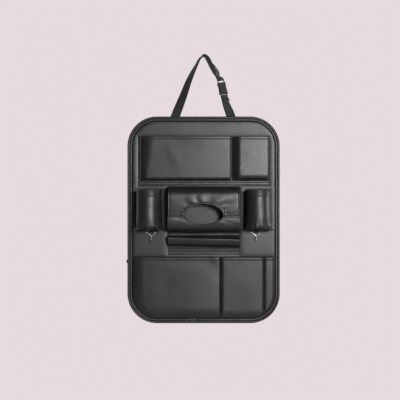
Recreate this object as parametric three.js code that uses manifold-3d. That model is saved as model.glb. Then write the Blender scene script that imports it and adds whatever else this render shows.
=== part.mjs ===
// Car seat back organizer: a padded leatherette panel with sewn pockets, two cup holders,
// a tissue pouch, two metal hooks and a webbing hanging strap with a side-release buckle.
// Millimetres. X runs to the right as the organizer is faced, Z up, and the front faces -Y.
// The origin is the centre of the flat back face, which lies in the plane Y = 0.

import * as THREE from 'three';
import { mergeVertices } from 'three/addons/utils/BufferGeometryUtils.js';
import Module from 'manifold-3d';

const wasm = await Module();
wasm.setup();

// Fits between pieces that are sewn or laid together
const FIT = 0.3;
// The facets that a round edge is drawn with
const CORNER_STEPS = 9;
const CUP_STEPS = 16;
const WIRE_SIDES = 10;
const LOOP_STEPS = 36;
const STEM_STEPS = 22;
const BEND_STEPS = 8;
const TURN_STEPS = 6;
const STRAP_STEPS = 4;
const SHORT_STRAP_STEPS = 6;
const ARCH_STEPS = 10;
const MOULDING_STEPS = 3;

// Sheet stock
const LEATHER = 1.5;
const HEM_EXTRA = 0.7;
const HEM_HEIGHT = 6;

// Panel, from the back face forwards
const PANEL_WIDTH = 420;
const PANEL_CORNER_RADIUS = 82;
const BACK_SHEET_THICKNESS = 1.2;
const BOARD_THICKNESS = 3;
const FRONT_SHEET_THICKNESS = 1.2;
const PAD_RISE = 2.6;
const PAD_GAP = 0.8;
// The pad's shoulder: how far inwards, and the share of its rise there
const PAD_SHOULDER = [[0, 0], [0.3, 0.6], [1, 0.92], [2.4, 1]];

// Edge binding, measured inwards from the panel's outline
const BINDING_WIDTH = 12;
const BINDING_WEB = 1.5;
const BINDING_LEG = 1.9;
const ROLL_WIDTH = 6.4;
const ROLL_RISE = 1.9;
// The roll's crown, in shares of its width and rise, and the rounding of the binding's edges
const ROLL_CROWN = [[0.12, 0.45], [0.4, 1], [0.7, 0.75]];
const EDGE_ROUND = 2;
const EDGE_CHAMFER = 0.6;
const GROOVE_WIDTH = 1.2;
const GROOVE_DEPTH = 0.4;
const HEM_ROUND = 0.5;

// Heights down the front face, from the top edge to the bottom edge
const TOP_MARGIN = 56.8;
const UPPER_POCKET_HEIGHT = 121;
const STRIP_GAP = 3;
const STRIP_HEIGHT = 9.6;
const POUCH_SEAM_GAP = 2.1;
const POUCH_HEIGHT = 123.5;
const VALLEY_HEIGHT = 16;
const SLACK_HEIGHT = 24;
const HEM_BAND_HEIGHT = 25;
const LOWER_POCKET_GAP = 8;
const LOWER_POCKET_HEIGHT = 166.8;
const LOWER_POCKET_EDGE = 14.2;

// Upper pockets. A run is the distance over which a sheet rises from its seam.
const UPPER_SIDE_MARGIN = 30;
const UPPER_RIGHT_WIDTH = 105;
const UPPER_POCKET_DEPTH = 17;
const PLEAT_SHARE = 0.3;
const PLEAT_RUN = 6;
const PLEAT_GAP = 8;
const SLOPE_RUN = 16;
const SLOPE_SPREAD = 24;
const MOUTH_SPREAD = 0.14;
const UPPER_SIDE_RUN = 2.2;
const UPPER_BOTTOM_RUN = 14;
const UPPER_CROWN = 0.13;
const PHONE_POCKET_DEPTH = 15;
const PHONE_GUSSET = 18;
const PHONE_CROWN = 0.14;
const PHONE_SIDE_RUN = 5;
const PHONE_BOTTOM_RUN = 22;
const POCKET_GAP = 1;

// Lower pockets
const LOWER_SPLIT = 45.2;
const LOWER_LEFT_DEPTH = 14;
const LOWER_LEFT_CROWN = 0.2;
const LOWER_LEFT_OUTER_RUN = 34;
const LOWER_LEFT_INNER_RUN = 2.4;
const LOWER_LEFT_BOTTOM_RUN = 30;
const LOWER_RIGHT_DEPTH = 9;
const LOWER_RIGHT_INNER_RUN = 10;
const LOWER_RIGHT_OUTER_RUN = 9;
const LOWER_RIGHT_BOTTOM_RUN = 24;
const PEN_SLOT_WIDTH = 30;
const PEN_SEAM_RUN = 7;
const PEN_SEAM_RISE = 0.25;

// Seam strip across the middle
const STRIP_SIDE_MARGIN = 29;
const STRIP_THICKNESS = 2.4;
const STRIP_ROUND_DEPTH = 0.9;
const STRIP_ROUND_HEIGHT = 1.6;

// Cup holders
const CUP_WIDTH = 67.5;
const CUP_DEPTH = 70;
const CUP_HEIGHT = 109;
const CUP_SIDE_MARGIN = 27;
const CUP_RIM_DROP = 13.6;
const CUP_SKIRT = 8;
const CUP_FLARE = 3.4;
const CUP_NECK = 0.4;
const CUP_PUFF = 0.6;
const CUP_GATHER = [1.1, 0.8, 0.3];
const CUP_BAND_DROP = 16.8;

// Tissue pouch
const POUCH_CUP_GAP = 17.5;
const POUCH_DEPTH = 46;
const SLACK_DEPTH = 25;
const FLAP_HEIGHT = 84;
const SLEEVE_LAP = 26;
const ARCH_WIDTH = 106;
const ARCH_HEIGHT = 31;
const ARCH_FOOT = 5;
const NOTCH_DEPTH = 24;
const POUCH_TILT = 5;
const FASTENER_WIDTH = 36;
const FASTENER_HEIGHT = 20;
const FASTENER_THICKNESS = 1.2;
const FASTENER_MARGIN = 3;
// The flap's side view, in shares of its depth and height from its lower edge
const FLAP_BELLY = [
  [-0.025, 0.25], [-0.04, 0.5], [-0.03, 0.7], [0.02, 0.82], [0.12, 0.91], [0.3, 0.965], [0.6, 0.988],
  [0.85, 0.998],
];
// The sleeve's folds, the valley between them and how far the slack fold's foot lies back
const FOLD_RADIUS = 5;
const VALLEY_DEPTH = 4.5;
const SLACK_LEAN = 8;
const POUCH_HEEL = 20;
const POUCH_HEEL_RISE = 32;

// Hooks and their webbing tabs
const TAB_WIDTH = 16;
const TAB_THICKNESS = 1.2;
const TAB_TOP_RISE = 6;
const TAB_LAP = 3;
const HOOK_BAR_DROP = 5;
const HOOK_WIRE_RADIUS = 1.4;
const HOOK_EAR_SPAN = 23;
const HOOK_LOOP_DROP = 10.5;
const HOOK_STEM = 9;
const HOOK_BEND_RADIUS = 4.6;
const HOOK_TIP = 3.5;
const HOOK_INSET = 5;
const HOOK_STEM_SWELL = 1.15;
// Half the hook's loop, in shares of its ear and drop
const HOOK_OUTLINE = [[0.3, 0], [0.66, 0], [1, 0.14], [0.93, 0.4], [0.55, 0.56], [0.2, 0.86]];

// Hanging strap
const WEBBING_WIDTH = 24.5;
const WEBBING_THICKNESS = 1.4;
const STRAP_RISE = 168;
const STRAP_LEFT_X = -78.5;
const STRAP_RIGHT_X = 75.5;
// The strap's way up on the left, in shares of its foot's X, the hanging point's depth and the rise
const STRAP_LEFT_ROUTE = [[0.72, 0.3, 0.33], [0.5, 0.6, 0.6], [0.28, 0.9, 0.81], [0.095, 1, 0.967]];
const STRAP_APEX_X = 0.8;
// Its way down on the right: X, how much nearer the panel, and the share of the rise
const STRAP_RIGHT_ROUTE = [[10, 0, 0.955], [24, 0.5, 0.815], [33.5, 1.85, 0.72]];
// How far it has turned about its own length at each of those points, in degrees
const STRAP_TWIST = [0, 30, 48, 66, 79, 99, 115, 116, 104];
const STRAP_LEAD = 4;
const LOWER_LEAN = [6, 18];
const STRAP_TAIL = 22;
const LOOSE_TAIL = 46;
const LOOSE_TAIL_SHIFT = 2;
const SEWN_TAIL = 24;
const TAIL_EASE = 12;

// Side-release buckle
const BUCKLE_RISE = 65.5;
const BUCKLE_X = 54.5;
const BUCKLE_LEAN = THREE.MathUtils.degToRad(13);
const BUCKLE_TURN = THREE.MathUtils.degToRad(50);
const BUCKLE_WIDTH = 34;
const BUCKLE_THICKNESS = 8;
const SOCKET_LENGTH = 27;
const SOCKET_WINDOW = 8;
const PLUG_WINDOW = 3.2;
const BAR_THICKNESS = 2.6;
const SHOULDER_LENGTH = 5;
const PRONG_LENGTH = 21;
const PRONG_WIDTH = 4;
const BAR_LEAD = 5;
const BUCKLE_WALL = 1.6;
const BUCKLE_EDGE = 5;
const SHELL_ROUND = 2.5;
const FRAME_ROUND = 2;
const WINDOW_ROUND = 0.8;
const PLUG_SLACK = 0.6;
const SOCKET_SIDE_OPENING = [4, 17];
const LATCH_ROOM = 1.2;
const GUIDE_WIDTH = 4;
const GUIDE_SHARE = 0.8;
const MOULDING_OVERLAP = 1;

// Side tab
const SIDE_TAB_HEIGHT = 8;
const SIDE_TAB_PROUD = 2.7;
const SIDE_TAB_DROP = 399.8;
const SIDE_TAB_LENGTH = 10;

// Places that follow from the sizes above
const MIDDLE_HEIGHT = POUCH_SEAM_GAP + POUCH_HEIGHT + VALLEY_HEIGHT + SLACK_HEIGHT
  + HEM_BAND_HEIGHT + LOWER_POCKET_GAP;
const PANEL_HEIGHT = TOP_MARGIN + UPPER_POCKET_HEIGHT + STRIP_GAP + STRIP_HEIGHT + MIDDLE_HEIGHT
  + LOWER_POCKET_HEIGHT + LOWER_POCKET_EDGE;
const TOP = PANEL_HEIGHT / 2;
const BOARD_FRONT = -BACK_SHEET_THICKNESS - BOARD_THICKNESS;
const FLANGE_FRONT = BOARD_FRONT - FRONT_SHEET_THICKNESS;
const FACE = FLANGE_FRONT - PAD_RISE;
const SEWN = FACE - FIT;
const UPPER_TOP = TOP - TOP_MARGIN;
const UPPER_BOTTOM = UPPER_TOP - UPPER_POCKET_HEIGHT;
const STRIP_TOP = UPPER_BOTTOM - STRIP_GAP;
const STRIP_BOTTOM = STRIP_TOP - STRIP_HEIGHT;
const POUCH_TOP = STRIP_BOTTOM - POUCH_SEAM_GAP;
const POUCH_BOTTOM = POUCH_TOP - POUCH_HEIGHT;
const POUCH_FRONT = SEWN - POUCH_DEPTH;
const FLAP_FRONT = POUCH_FRONT - LEATHER - 2 * FASTENER_THICKNESS - 3 * FIT;
const FLAP_BOTTOM = POUCH_TOP - FLAP_HEIGHT;
const SLACK_TOP = POUCH_BOTTOM - VALLEY_HEIGHT;
const SLACK_BOTTOM = SLACK_TOP - SLACK_HEIGHT;
const HEM_BOTTOM = SLACK_BOTTOM - HEM_BAND_HEIGHT;
const LOWER_TOP = HEM_BOTTOM - LOWER_POCKET_GAP;
const CUP_RIM = STRIP_BOTTOM - CUP_RIM_DROP;
const CUP_BOTTOM = CUP_RIM - CUP_HEIGHT;
const CUP_CENTRE = PANEL_WIDTH / 2 - CUP_SIDE_MARGIN - CUP_WIDTH / 2;
const POUCH_HALF_WIDTH = PANEL_WIDTH / 2 - CUP_SIDE_MARGIN - CUP_WIDTH - POUCH_CUP_GAP;
const HOOK_BAR_Z = CUP_BOTTOM - HOOK_BAR_DROP;
const HOOK_BAR_Y = SEWN - TAB_THICKNESS - FIT - HOOK_WIRE_RADIUS;
const STRAP_BACK_Y = -BACK_SHEET_THICKNESS - FIT - WEBBING_THICKNESS / 2;
const STRAP_APEX_Y = -WEBBING_WIDTH / 2 - WEBBING_THICKNESS;
const BUCKLE_Y = -WEBBING_WIDTH / 2;

// Materials
const leather = new THREE.MeshStandardMaterial({ color: 0x3a3a3b, roughness: 0.5, metalness: 0 });
const lining = new THREE.MeshStandardMaterial({ color: 0x242425, roughness: 0.9, metalness: 0 });
const board = new THREE.MeshStandardMaterial({ color: 0x4a4a4a, roughness: 0.6, metalness: 0 });
const webbing = new THREE.MeshStandardMaterial({ color: 0x262627, roughness: 0.8, metalness: 0 });
const moulding = new THREE.MeshStandardMaterial({ color: 0x1d1d1e, roughness: 0.4, metalness: 0 });
const chrome = new THREE.MeshStandardMaterial({ color: 0xc8c8cc, roughness: 0.15, metalness: 1 });

// A closed geometry from points and triangles, turned inside out if it faces inwards.
function closedGeometry(points, triangles) {
  let volume = 0;
  const cross = new THREE.Vector3();
  for (const [a, b, c] of triangles) {
    volume += points[a].dot(cross.crossVectors(points[b], points[c]));
  }
  const order = volume < 0 ? [0, 2, 1] : [0, 1, 2];
  const geometry = new THREE.BufferGeometry().setFromPoints(points);
  geometry.setIndex(triangles.flatMap((triangle) => order.map((k) => triangle[k])));
  return geometry;
}

// A solid between stacked loops of equal length, with its two ends closed from their middles.
function loft(loops) {
  const count = loops[0].length;
  const points = loops.flat();
  const triangles = [];
  for (let j = 0; j < loops.length - 1; j += 1) {
    for (let i = 0; i < count; i += 1) {
      const a = j * count + i;
      const b = j * count + (i + 1) % count;
      triangles.push([a, b, b + count], [a, b + count, a + count]);
    }
  }
  for (const [start, sign] of [[0, -1], [(loops.length - 1) * count, 1]]) {
    const middle = new THREE.Vector3();
    for (let i = 0; i < count; i += 1) {
      middle.add(points[start + i]);
    }
    points.push(middle.divideScalar(count));
    for (let i = 0; i < count; i += 1) {
      const pair = [start + i, start + (i + 1) % count];
      triangles.push([points.length - 1, ...(sign > 0 ? pair : pair.reverse())]);
    }
  }
  return closedGeometry(points, triangles);
}

// A solid swept round a closed path: every loop joins the next, and the last joins the first.
function closedSweep(loops) {
  const count = loops[0].length;
  const triangles = [];
  for (let j = 0; j < loops.length; j += 1) {
    const next = ((j + 1) % loops.length) * count;
    for (let i = 0; i < count; i += 1) {
      const k = (i + 1) % count;
      triangles.push([j * count + i, j * count + k, next + k], [j * count + i, next + k, next + i]);
    }
  }
  return closedGeometry(loops.flat(), triangles);
}

// A sheet between an outer and an inner skin, both grids of rows of points, closed round its edge.
function twoSkinSheet(outer, inner) {
  const rows = outer.length;
  const columns = outer[0].length;
  const points = [...outer.flat(), ...inner.flat()];
  const back = rows * columns;
  const triangles = [];
  for (let j = 0; j < rows - 1; j += 1) {
    for (let i = 0; i < columns - 1; i += 1) {
      const a = j * columns + i;
      const quad = [a, a + 1, a + 1 + columns, a + columns];
      triangles.push([quad[0], quad[1], quad[2]], [quad[0], quad[2], quad[3]]);
      triangles.push([back + quad[0], back + quad[2], back + quad[1]]);
      triangles.push([back + quad[0], back + quad[3], back + quad[2]]);
    }
  }
  const edge = [];
  for (let i = 0; i < columns - 1; i += 1) {
    edge.push(i);
  }
  for (let j = 0; j < rows - 1; j += 1) {
    edge.push(j * columns + columns - 1);
  }
  for (let i = columns - 1; i > 0; i -= 1) {
    edge.push((rows - 1) * columns + i);
  }
  for (let j = rows - 1; j > 0; j -= 1) {
    edge.push(j * columns);
  }
  edge.forEach((a, k) => {
    const b = edge[(k + 1) % edge.length];
    triangles.push([a, back + b, b], [a, back + a, back + b]);
  });
  return closedGeometry(points, triangles);
}

// A sheet of one thickness under an outer grid: its inner skin lies back along the grid's normals.
function thickSheet(grid, thickness) {
  const along = new THREE.Vector3();
  const up = new THREE.Vector3();
  const inner = grid.map((row, j) => row.map((point, i) => {
    const last = row.length - 1;
    along.subVectors(row[Math.min(i + 1, last)], row[Math.max(i - 1, 0)]);
    up.subVectors(grid[Math.min(j + 1, grid.length - 1)][i], grid[Math.max(j - 1, 0)][i]);
    return point.clone().addScaledVector(along.clone().cross(up).normalize(), -thickness);
  }));
  return twoSkinSheet(grid, inner);
}

// A solid for cutting and joining, and its geometry again afterwards.
function toSolid(geometry) {
  const bare = geometry.clone();
  bare.deleteAttribute('normal');
  bare.deleteAttribute('uv');
  const merged = mergeVertices(bare, 1e-4);
  return new wasm.Manifold(new wasm.Mesh({
    numProp: 3,
    vertProperties: new Float32Array(merged.attributes.position.array),
    triVerts: new Uint32Array(merged.index.array),
  }));
}

function toGeometry(solid) {
  const mesh = solid.getMesh();
  const geometry = new THREE.BufferGeometry();
  geometry.setAttribute('position', new THREE.BufferAttribute(mesh.vertProperties, 3));
  geometry.setIndex(new THREE.BufferAttribute(mesh.triVerts, 1));
  return geometry;
}

function cut(geometry, ...cutters) {
  return toGeometry(cutters.reduce((solid, cutter) => solid.subtract(toSolid(cutter)), toSolid(geometry)));
}

function join(...geometries) {
  return toGeometry(geometries.map(toSolid).reduce((solid, other) => solid.add(other)));
}

// A box from its two opposite corners.
function boxBetween(low, high) {
  const size = high.map((value, k) => value - low[k]);
  const middle = high.map((value, k) => (value + low[k]) / 2);
  return new THREE.BoxGeometry(...size).translate(...middle);
}

// A flat outline drawn out to a thickness, with its curves in the given number of facets.
function extrude(shape, thickness, facets) {
  const settings = { depth: thickness, bevelEnabled: false, curveSegments: facets };
  return new THREE.ExtrudeGeometry(shape, settings);
}

// The panel's outline, drawn in by inset, as a loop of points at depth y.
function panelLoop(inset, y) {
  const radius = PANEL_CORNER_RADIUS - inset;
  const dx = PANEL_WIDTH / 2 - PANEL_CORNER_RADIUS;
  const dz = PANEL_HEIGHT / 2 - PANEL_CORNER_RADIUS;
  const points = [];
  [[1, 1], [-1, 1], [-1, -1], [1, -1]].forEach(([sx, sz], corner) => {
    for (let k = 0; k <= CORNER_STEPS; k += 1) {
      const angle = (corner + k / CORNER_STEPS) * Math.PI / 2;
      points.push(new THREE.Vector3(
        sx * dx + radius * Math.cos(angle), y, sz * dz + radius * Math.sin(angle)));
    }
  });
  return points;
}

// Half the panel's width at height z, drawn in by inset.
function panelHalfWidth(z, inset) {
  const radius = PANEL_CORNER_RADIUS - inset;
  const beyond = Math.max(0, Math.abs(z) - PANEL_HEIGHT / 2 + PANEL_CORNER_RADIUS);
  const reach = Math.sqrt(Math.max(0, radius * radius - beyond * beyond));
  return PANEL_WIDTH / 2 - PANEL_CORNER_RADIUS + reach;
}

// A quarter-round rise from 0 to 1 as t goes from 0 to 1.
function rise(t) {
  const left = 1 - THREE.MathUtils.clamp(t, 0, 1);
  return Math.sqrt(1 - left * left);
}

// A strip of webbing along stations of a centre point and a width direction.
function ribbon(stations, width = WEBBING_WIDTH, thickness = WEBBING_THICKNESS) {
  return loft(stations.map(({ centre, across }, j) => {
    const before = stations[Math.max(j - 1, 0)].centre;
    const after = stations[Math.min(j + 1, stations.length - 1)].centre;
    const along = after.clone().sub(before).normalize();
    const face = along.clone().cross(across).normalize();
    const side = face.clone().cross(along).normalize();
    return [[-1, -1], [1, -1], [1, 1], [-1, 1]].map(([s, f]) => centre.clone()
      .addScaledVector(side, s * width / 2)
      .addScaledVector(face, f * thickness / 2));
  }));
}

// A round wire along a curve, closed on itself or with flat ends.
function wire(curve, radius, steps, closed) {
  const frames = curve.computeFrenetFrames(steps, closed);
  const loops = [];
  for (let j = 0; j <= steps - (closed ? 1 : 0); j += 1) {
    const centre = curve.getPointAt(j / steps);
    loops.push(Array.from({ length: WIRE_SIDES }, (_, i) => {
      const angle = i / WIRE_SIDES * 2 * Math.PI;
      return centre.clone()
        .addScaledVector(frames.normals[j], radius * Math.cos(angle))
        .addScaledVector(frames.binormals[j], radius * Math.sin(angle));
    }));
  }
  return closed ? closedSweep(loops) : loft(loops);
}

// The strap's route: up from the left of the panel, over the hanging point and down to the buckle.
const buckleCentre = new THREE.Vector3(BUCKLE_X, BUCKLE_Y, TOP + BUCKLE_RISE);

function placeOnBuckle(x, y, z) {
  return new THREE.Vector3(x, y, z)
    .applyAxisAngle(new THREE.Vector3(0, 0, 1), BUCKLE_TURN)
    .applyAxisAngle(new THREE.Vector3(0, 1, 0), -BUCKLE_LEAN)
    .add(buckleCentre);
}

const buckleAcross = placeOnBuckle(1, 0, 0).sub(buckleCentre);

// A turn of webbing round one of the buckle's bars: it comes in behind and leaves in front.
function barTurn(barZ, direction) {
  const radius = BAR_THICKNESS * Math.SQRT1_2 + FIT + WEBBING_THICKNESS / 2;
  const stations = [{ centre: placeOnBuckle(0, radius, barZ + direction * BAR_LEAD), across: buckleAcross }];
  for (let k = 0; k <= TURN_STEPS; k += 1) {
    const angle = k / TURN_STEPS * Math.PI;
    const centre = placeOnBuckle(0, radius * Math.cos(angle), barZ - direction * radius * Math.sin(angle));
    stations.push({ centre, across: buckleAcross });
  }
  return stations;
}

// A strap end that has turned round a bar and lies on the strap's own front, shifted a little aside.
function tailBack(stations, turn, length, shift) {
  const exit = turn[turn.length - 1].centre;
  const entry = turn[0].centre;
  const gap = 2 * (BAR_THICKNESS * Math.SQRT1_2 + FIT) + WEBBING_THICKNESS;
  const faceAt = (j) => {
    const along = stations[j].centre.clone().sub(stations[j - 1].centre).normalize();
    return along.cross(stations[j].across).normalize();
  };
  const front = Math.sign(faceAt(stations.length - 1).dot(exit.clone().sub(entry)));
  const tail = [];
  let run = 0;
  for (let j = stations.length - 1; j > 0 && run < length; j -= 1) {
    run += stations[j].centre.distanceTo(stations[j - 1].centre);
    const face = faceAt(j).multiplyScalar(front * gap);
    const side = stations[j].across.clone().multiplyScalar(shift * Math.min(1, run / TAIL_EASE));
    const centre = stations[j].centre.clone().add(face).add(side);
    tail.push({ centre, across: stations[j].across.clone() });
  }
  return tail;
}

const SOCKET_BAR_Z = SOCKET_LENGTH + SOCKET_WINDOW + BAR_THICKNESS / 2;
const PLUG_BAR_Z = -SHOULDER_LENGTH - PLUG_WINDOW - BAR_THICKNESS / 2;

// The direction in which a strap end runs down into the panel's top edge.
function strapFoot(x, towardsX, towardsRise) {
  const foot = new THREE.Vector3(x, STRAP_BACK_Y, TOP);
  const lean = new THREE.Vector3(towardsX - x, 0, towardsRise).normalize();
  const across = new THREE.Vector3(lean.z, 0, -lean.x);
  return { foot, lean, across };
}

const leftFoot = strapFoot(
  STRAP_LEFT_X, STRAP_LEFT_X * STRAP_LEFT_ROUTE[0][0], STRAP_RISE * STRAP_LEFT_ROUTE[0][2]);
const rightFoot = strapFoot(STRAP_RIGHT_X, BUCKLE_X + LOWER_LEAN[0], BUCKLE_RISE - LOWER_LEAN[1]);

function footStations({ foot, lean, across }) {
  return [-STRAP_TAIL, -STRAP_TAIL / 2, 0, STRAP_LEAD].map((step) => (
    { centre: foot.clone().addScaledVector(lean, step), across }));
}

function upperStrap() {
  const turn = barTurn(SOCKET_BAR_Z, 1);
  const start = footStations(leftFoot);
  const apex = new THREE.Vector3(STRAP_APEX_X, STRAP_APEX_Y, TOP + STRAP_RISE);
  const up = STRAP_LEFT_ROUTE.map(([x, y, z]) => (
    new THREE.Vector3(x * STRAP_LEFT_X, y * STRAP_APEX_Y, TOP + z * STRAP_RISE)));
  const down = STRAP_RIGHT_ROUTE.map(([x, y, z]) => (
    new THREE.Vector3(x, STRAP_APEX_Y + y, TOP + z * STRAP_RISE)));
  const points = [start[3].centre, ...up, apex, ...down, turn[0].centre];
  const curve = new THREE.CatmullRomCurve3(points, false, 'centripetal');
  const turns = [...STRAP_TWIST, THREE.MathUtils.radToDeg(BUCKLE_TURN)];
  const stations = [...start];
  for (let leg = 0; leg < points.length - 1; leg += 1) {
    for (let k = leg === 0 ? 1 : 0; k < STRAP_STEPS; k += 1) {
      const t = (leg + k / STRAP_STEPS) / (points.length - 1);
      const centre = curve.getPoint(t);
      const along = curve.getTangent(t);
      const outward = along.clone().cross(new THREE.Vector3(0, 1, 0)).normalize();
      const depth = outward.clone().cross(along).normalize();
      const degrees = THREE.MathUtils.lerp(turns[leg], turns[leg + 1], k / STRAP_STEPS);
      const angle = THREE.MathUtils.degToRad(degrees);
      const across = outward.multiplyScalar(Math.cos(angle)).addScaledVector(depth, Math.sin(angle));
      stations.push({ centre, across: across.negate() });
    }
  }
  return ribbon(withTurn(stations, turn, LOOSE_TAIL, LOOSE_TAIL_SHIFT));
}

// Keeps the width direction from flipping over between one station and the next.
function alignAcross(stations) {
  for (let j = 1; j < stations.length; j += 1) {
    if (stations[j].across.dot(stations[j - 1].across) < 0) {
      stations[j].across.negate();
    }
  }
  return stations;
}

// A strap's stations with its turn round a bar and its tail lying back on it.
function withTurn(stations, turn, length, shift) {
  const strap = alignAcross([...stations, { centre: turn[0].centre, across: turn[0].across.clone() }]);
  const round = turn.slice(1).map(({ centre, across }) => ({ centre, across: across.clone() }));
  return alignAcross([...strap, ...round, ...tailBack(strap, turn, length, shift)]);
}

function lowerStrap() {
  const turn = barTurn(PLUG_BAR_Z, -1);
  const start = footStations(rightFoot);
  const curve = new THREE.CatmullRomCurve3([
    start[2].centre, start[3].centre, turn[0].centre, turn[1].centre], false, 'centripetal');
  const stations = [...start];
  for (let k = 1; k < SHORT_STRAP_STEPS; k += 1) {
    const share = k / SHORT_STRAP_STEPS;
    const across = rightFoot.across.clone().lerp(buckleAcross, share).normalize();
    stations.push({ centre: curve.getPoint((1 + share) / (curve.points.length - 1)), across });
  }
  return ribbon(withTurn(stations, turn, SEWN_TAIL, 0));
}

// The room that a strap end takes inside the panel.
function footCutter({ foot, lean, across }) {
  const stations = [-STRAP_TAIL - 1, STRAP_TAIL].map((step) => (
    { centre: foot.clone().addScaledVector(lean, step), across }));
  return ribbon(stations, WEBBING_WIDTH + 2 * FIT, WEBBING_THICKNESS + 2 * FIT);
}

function sideTabBox(grown) {
  const x = -PANEL_WIDTH / 2;
  const z = TOP - SIDE_TAB_DROP;
  const y = -BACK_SHEET_THICKNESS - FIT;
  return boxBetween(
    [x - SIDE_TAB_PROUD - grown, y - WEBBING_THICKNESS - grown, z - SIDE_TAB_HEIGHT / 2 - grown],
    [x + SIDE_TAB_LENGTH + grown, y + grown, z + SIDE_TAB_HEIGHT / 2 + grown]);
}

// Panel layers
function backSheet() {
  const inset = BINDING_WIDTH + FIT;
  return loft([panelLoop(inset, 0), panelLoop(inset, -BACK_SHEET_THICKNESS)]);
}

function stiffenerBoard() {
  const inset = BINDING_WEB + FIT;
  const slab = loft([panelLoop(inset, -BACK_SHEET_THICKNESS), panelLoop(inset, BOARD_FRONT)]);
  return cut(slab, footCutter(leftFoot), footCutter(rightFoot), sideTabBox(FIT));
}

function frontSheet() {
  const edge = BINDING_WEB + FIT;
  const shoulder = BINDING_WIDTH + PAD_GAP;
  return loft([
    panelLoop(edge, BOARD_FRONT),
    panelLoop(edge, FLANGE_FRONT),
    ...PAD_SHOULDER.map(([inwards, share]) => (
      panelLoop(shoulder + inwards, FLANGE_FRONT - PAD_RISE * share))),
  ]);
}

// The binding folds round the edge: a flat leg behind, a rolled edge and a stitched hem in front.
function edgeBinding() {
  const inside = FLANGE_FRONT - FIT;
  const hem = inside - BINDING_LEG;
  const section = [
    [BINDING_WIDTH, 0],
    [EDGE_ROUND, 0],
    [EDGE_CHAMFER, -EDGE_CHAMFER],
    [0, -EDGE_ROUND],
    [0, hem + EDGE_ROUND / 2],
    ...ROLL_CROWN.map(([across, up]) => [ROLL_WIDTH * across, hem - ROLL_RISE * up]),
    [ROLL_WIDTH, hem + GROOVE_DEPTH],
    [ROLL_WIDTH + GROOVE_WIDTH, hem],
    [BINDING_WIDTH - HEM_ROUND, hem],
    [BINDING_WIDTH, hem + HEM_ROUND],
    [BINDING_WIDTH, inside],
    [BINDING_WEB, inside],
    [BINDING_WEB, -BACK_SHEET_THICKNESS],
    [BINDING_WIDTH, -BACK_SHEET_THICKNESS],
  ];
  const rings = section.map(([inset, y]) => panelLoop(inset, y));
  const stations = rings[0].map((_, k) => rings.map((ring) => ring[k]));
  return cut(closedSweep(stations), footCutter(leftFoot), footCutter(rightFoot), sideTabBox(FIT));
}

// A patch pocket: a sheet sewn down at its sides and bottom that stands off the panel by height(x, z)
// and is open along its top. left(z) and right(z) bound it.
function patchPocket({ left, right, bottom, top, depth, columns, height }) {
  const rows = [0, 0.015, 0.045, 0.1, 0.2, 0.4, 0.65, 1 - HEM_HEIGHT / (top - bottom) - 0.012,
    1 - HEM_HEIGHT / (top - bottom), 1];
  const skin = (inset, share, hem) => rows.map((v, j) => columns.map((u) => {
    const z = THREE.MathUtils.lerp(bottom + inset, top, v);
    const x = THREE.MathUtils.lerp(left(z) + inset, right(z) - inset, u);
    const outerZ = THREE.MathUtils.lerp(bottom, top, v);
    const outerX = THREE.MathUtils.lerp(left(outerZ), right(outerZ), u);
    const stand = height(outerX, outerZ) * share;
    const extra = j >= rows.length - 2 ? Math.min(hem, stand) : 0;
    return new THREE.Vector3(x, SEWN - stand - extra, z);
  }));
  return twoSkinSheet(skin(0, 1, HEM_EXTRA), skin(LEATHER, 1 - LEATHER / depth, 0));
}

function upperLeftPocket() {
  const left = -PANEL_WIDTH / 2 + UPPER_SIDE_MARGIN;
  const right = PANEL_WIDTH / 2 - UPPER_SIDE_MARGIN - UPPER_RIGHT_WIDTH - POCKET_GAP;
  const depth = UPPER_POCKET_DEPTH;
  return patchPocket({
    left: () => left,
    right: () => right,
    bottom: UPPER_BOTTOM,
    top: UPPER_TOP,
    depth,
    columns: [0, 0.012, 0.022, 0.035, 0.06, 0.1, 0.15, 0.3, 0.55, 0.8, 0.95, 0.99, 0.996, 1],
    height: (x, z) => {
      const up = (z - UPPER_BOTTOM) / UPPER_POCKET_HEIGHT;
      const pleat = PLEAT_SHARE * rise((x - left) / PLEAT_RUN);
      const slope = (1 - PLEAT_SHARE) * rise((x - left - PLEAT_GAP) / (SLOPE_RUN + SLOPE_SPREAD * up));
      const mouth = 1 - MOUTH_SPREAD * (1 - up);
      const crown = 1 - UPPER_CROWN * Math.max(0, 2 * (x - left) / (right - left) - 1) ** 2;
      const stand = depth * (pleat + slope) * mouth * crown;
      return stand * rise((right - x) / UPPER_SIDE_RUN) * rise((z - UPPER_BOTTOM) / UPPER_BOTTOM_RUN);
    },
  });
}

function upperRightPocket() {
  const right = PANEL_WIDTH / 2 - UPPER_SIDE_MARGIN;
  const left = right - UPPER_RIGHT_WIDTH;
  const depth = PHONE_POCKET_DEPTH;
  return patchPocket({
    left: () => left,
    right: () => right,
    bottom: UPPER_BOTTOM,
    top: UPPER_TOP,
    depth,
    columns: [0, 0.06, 0.12, 0.17, 0.2, 0.26, 0.4, 0.6, 0.8, 0.9, 0.94, 0.965, 0.985, 1],
    height: (x, z) => {
      const gusset = THREE.MathUtils.clamp((x - left) / PHONE_GUSSET, 0, 1);
      const crown = 1 - PHONE_CROWN * ((x - left - right + x) / UPPER_RIGHT_WIDTH) ** 2;
      const sides = rise((right - x) / PHONE_SIDE_RUN) * rise((z - UPPER_BOTTOM) / PHONE_BOTTOM_RUN);
      return depth * gusset * crown * sides;
    },
  });
}

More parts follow.
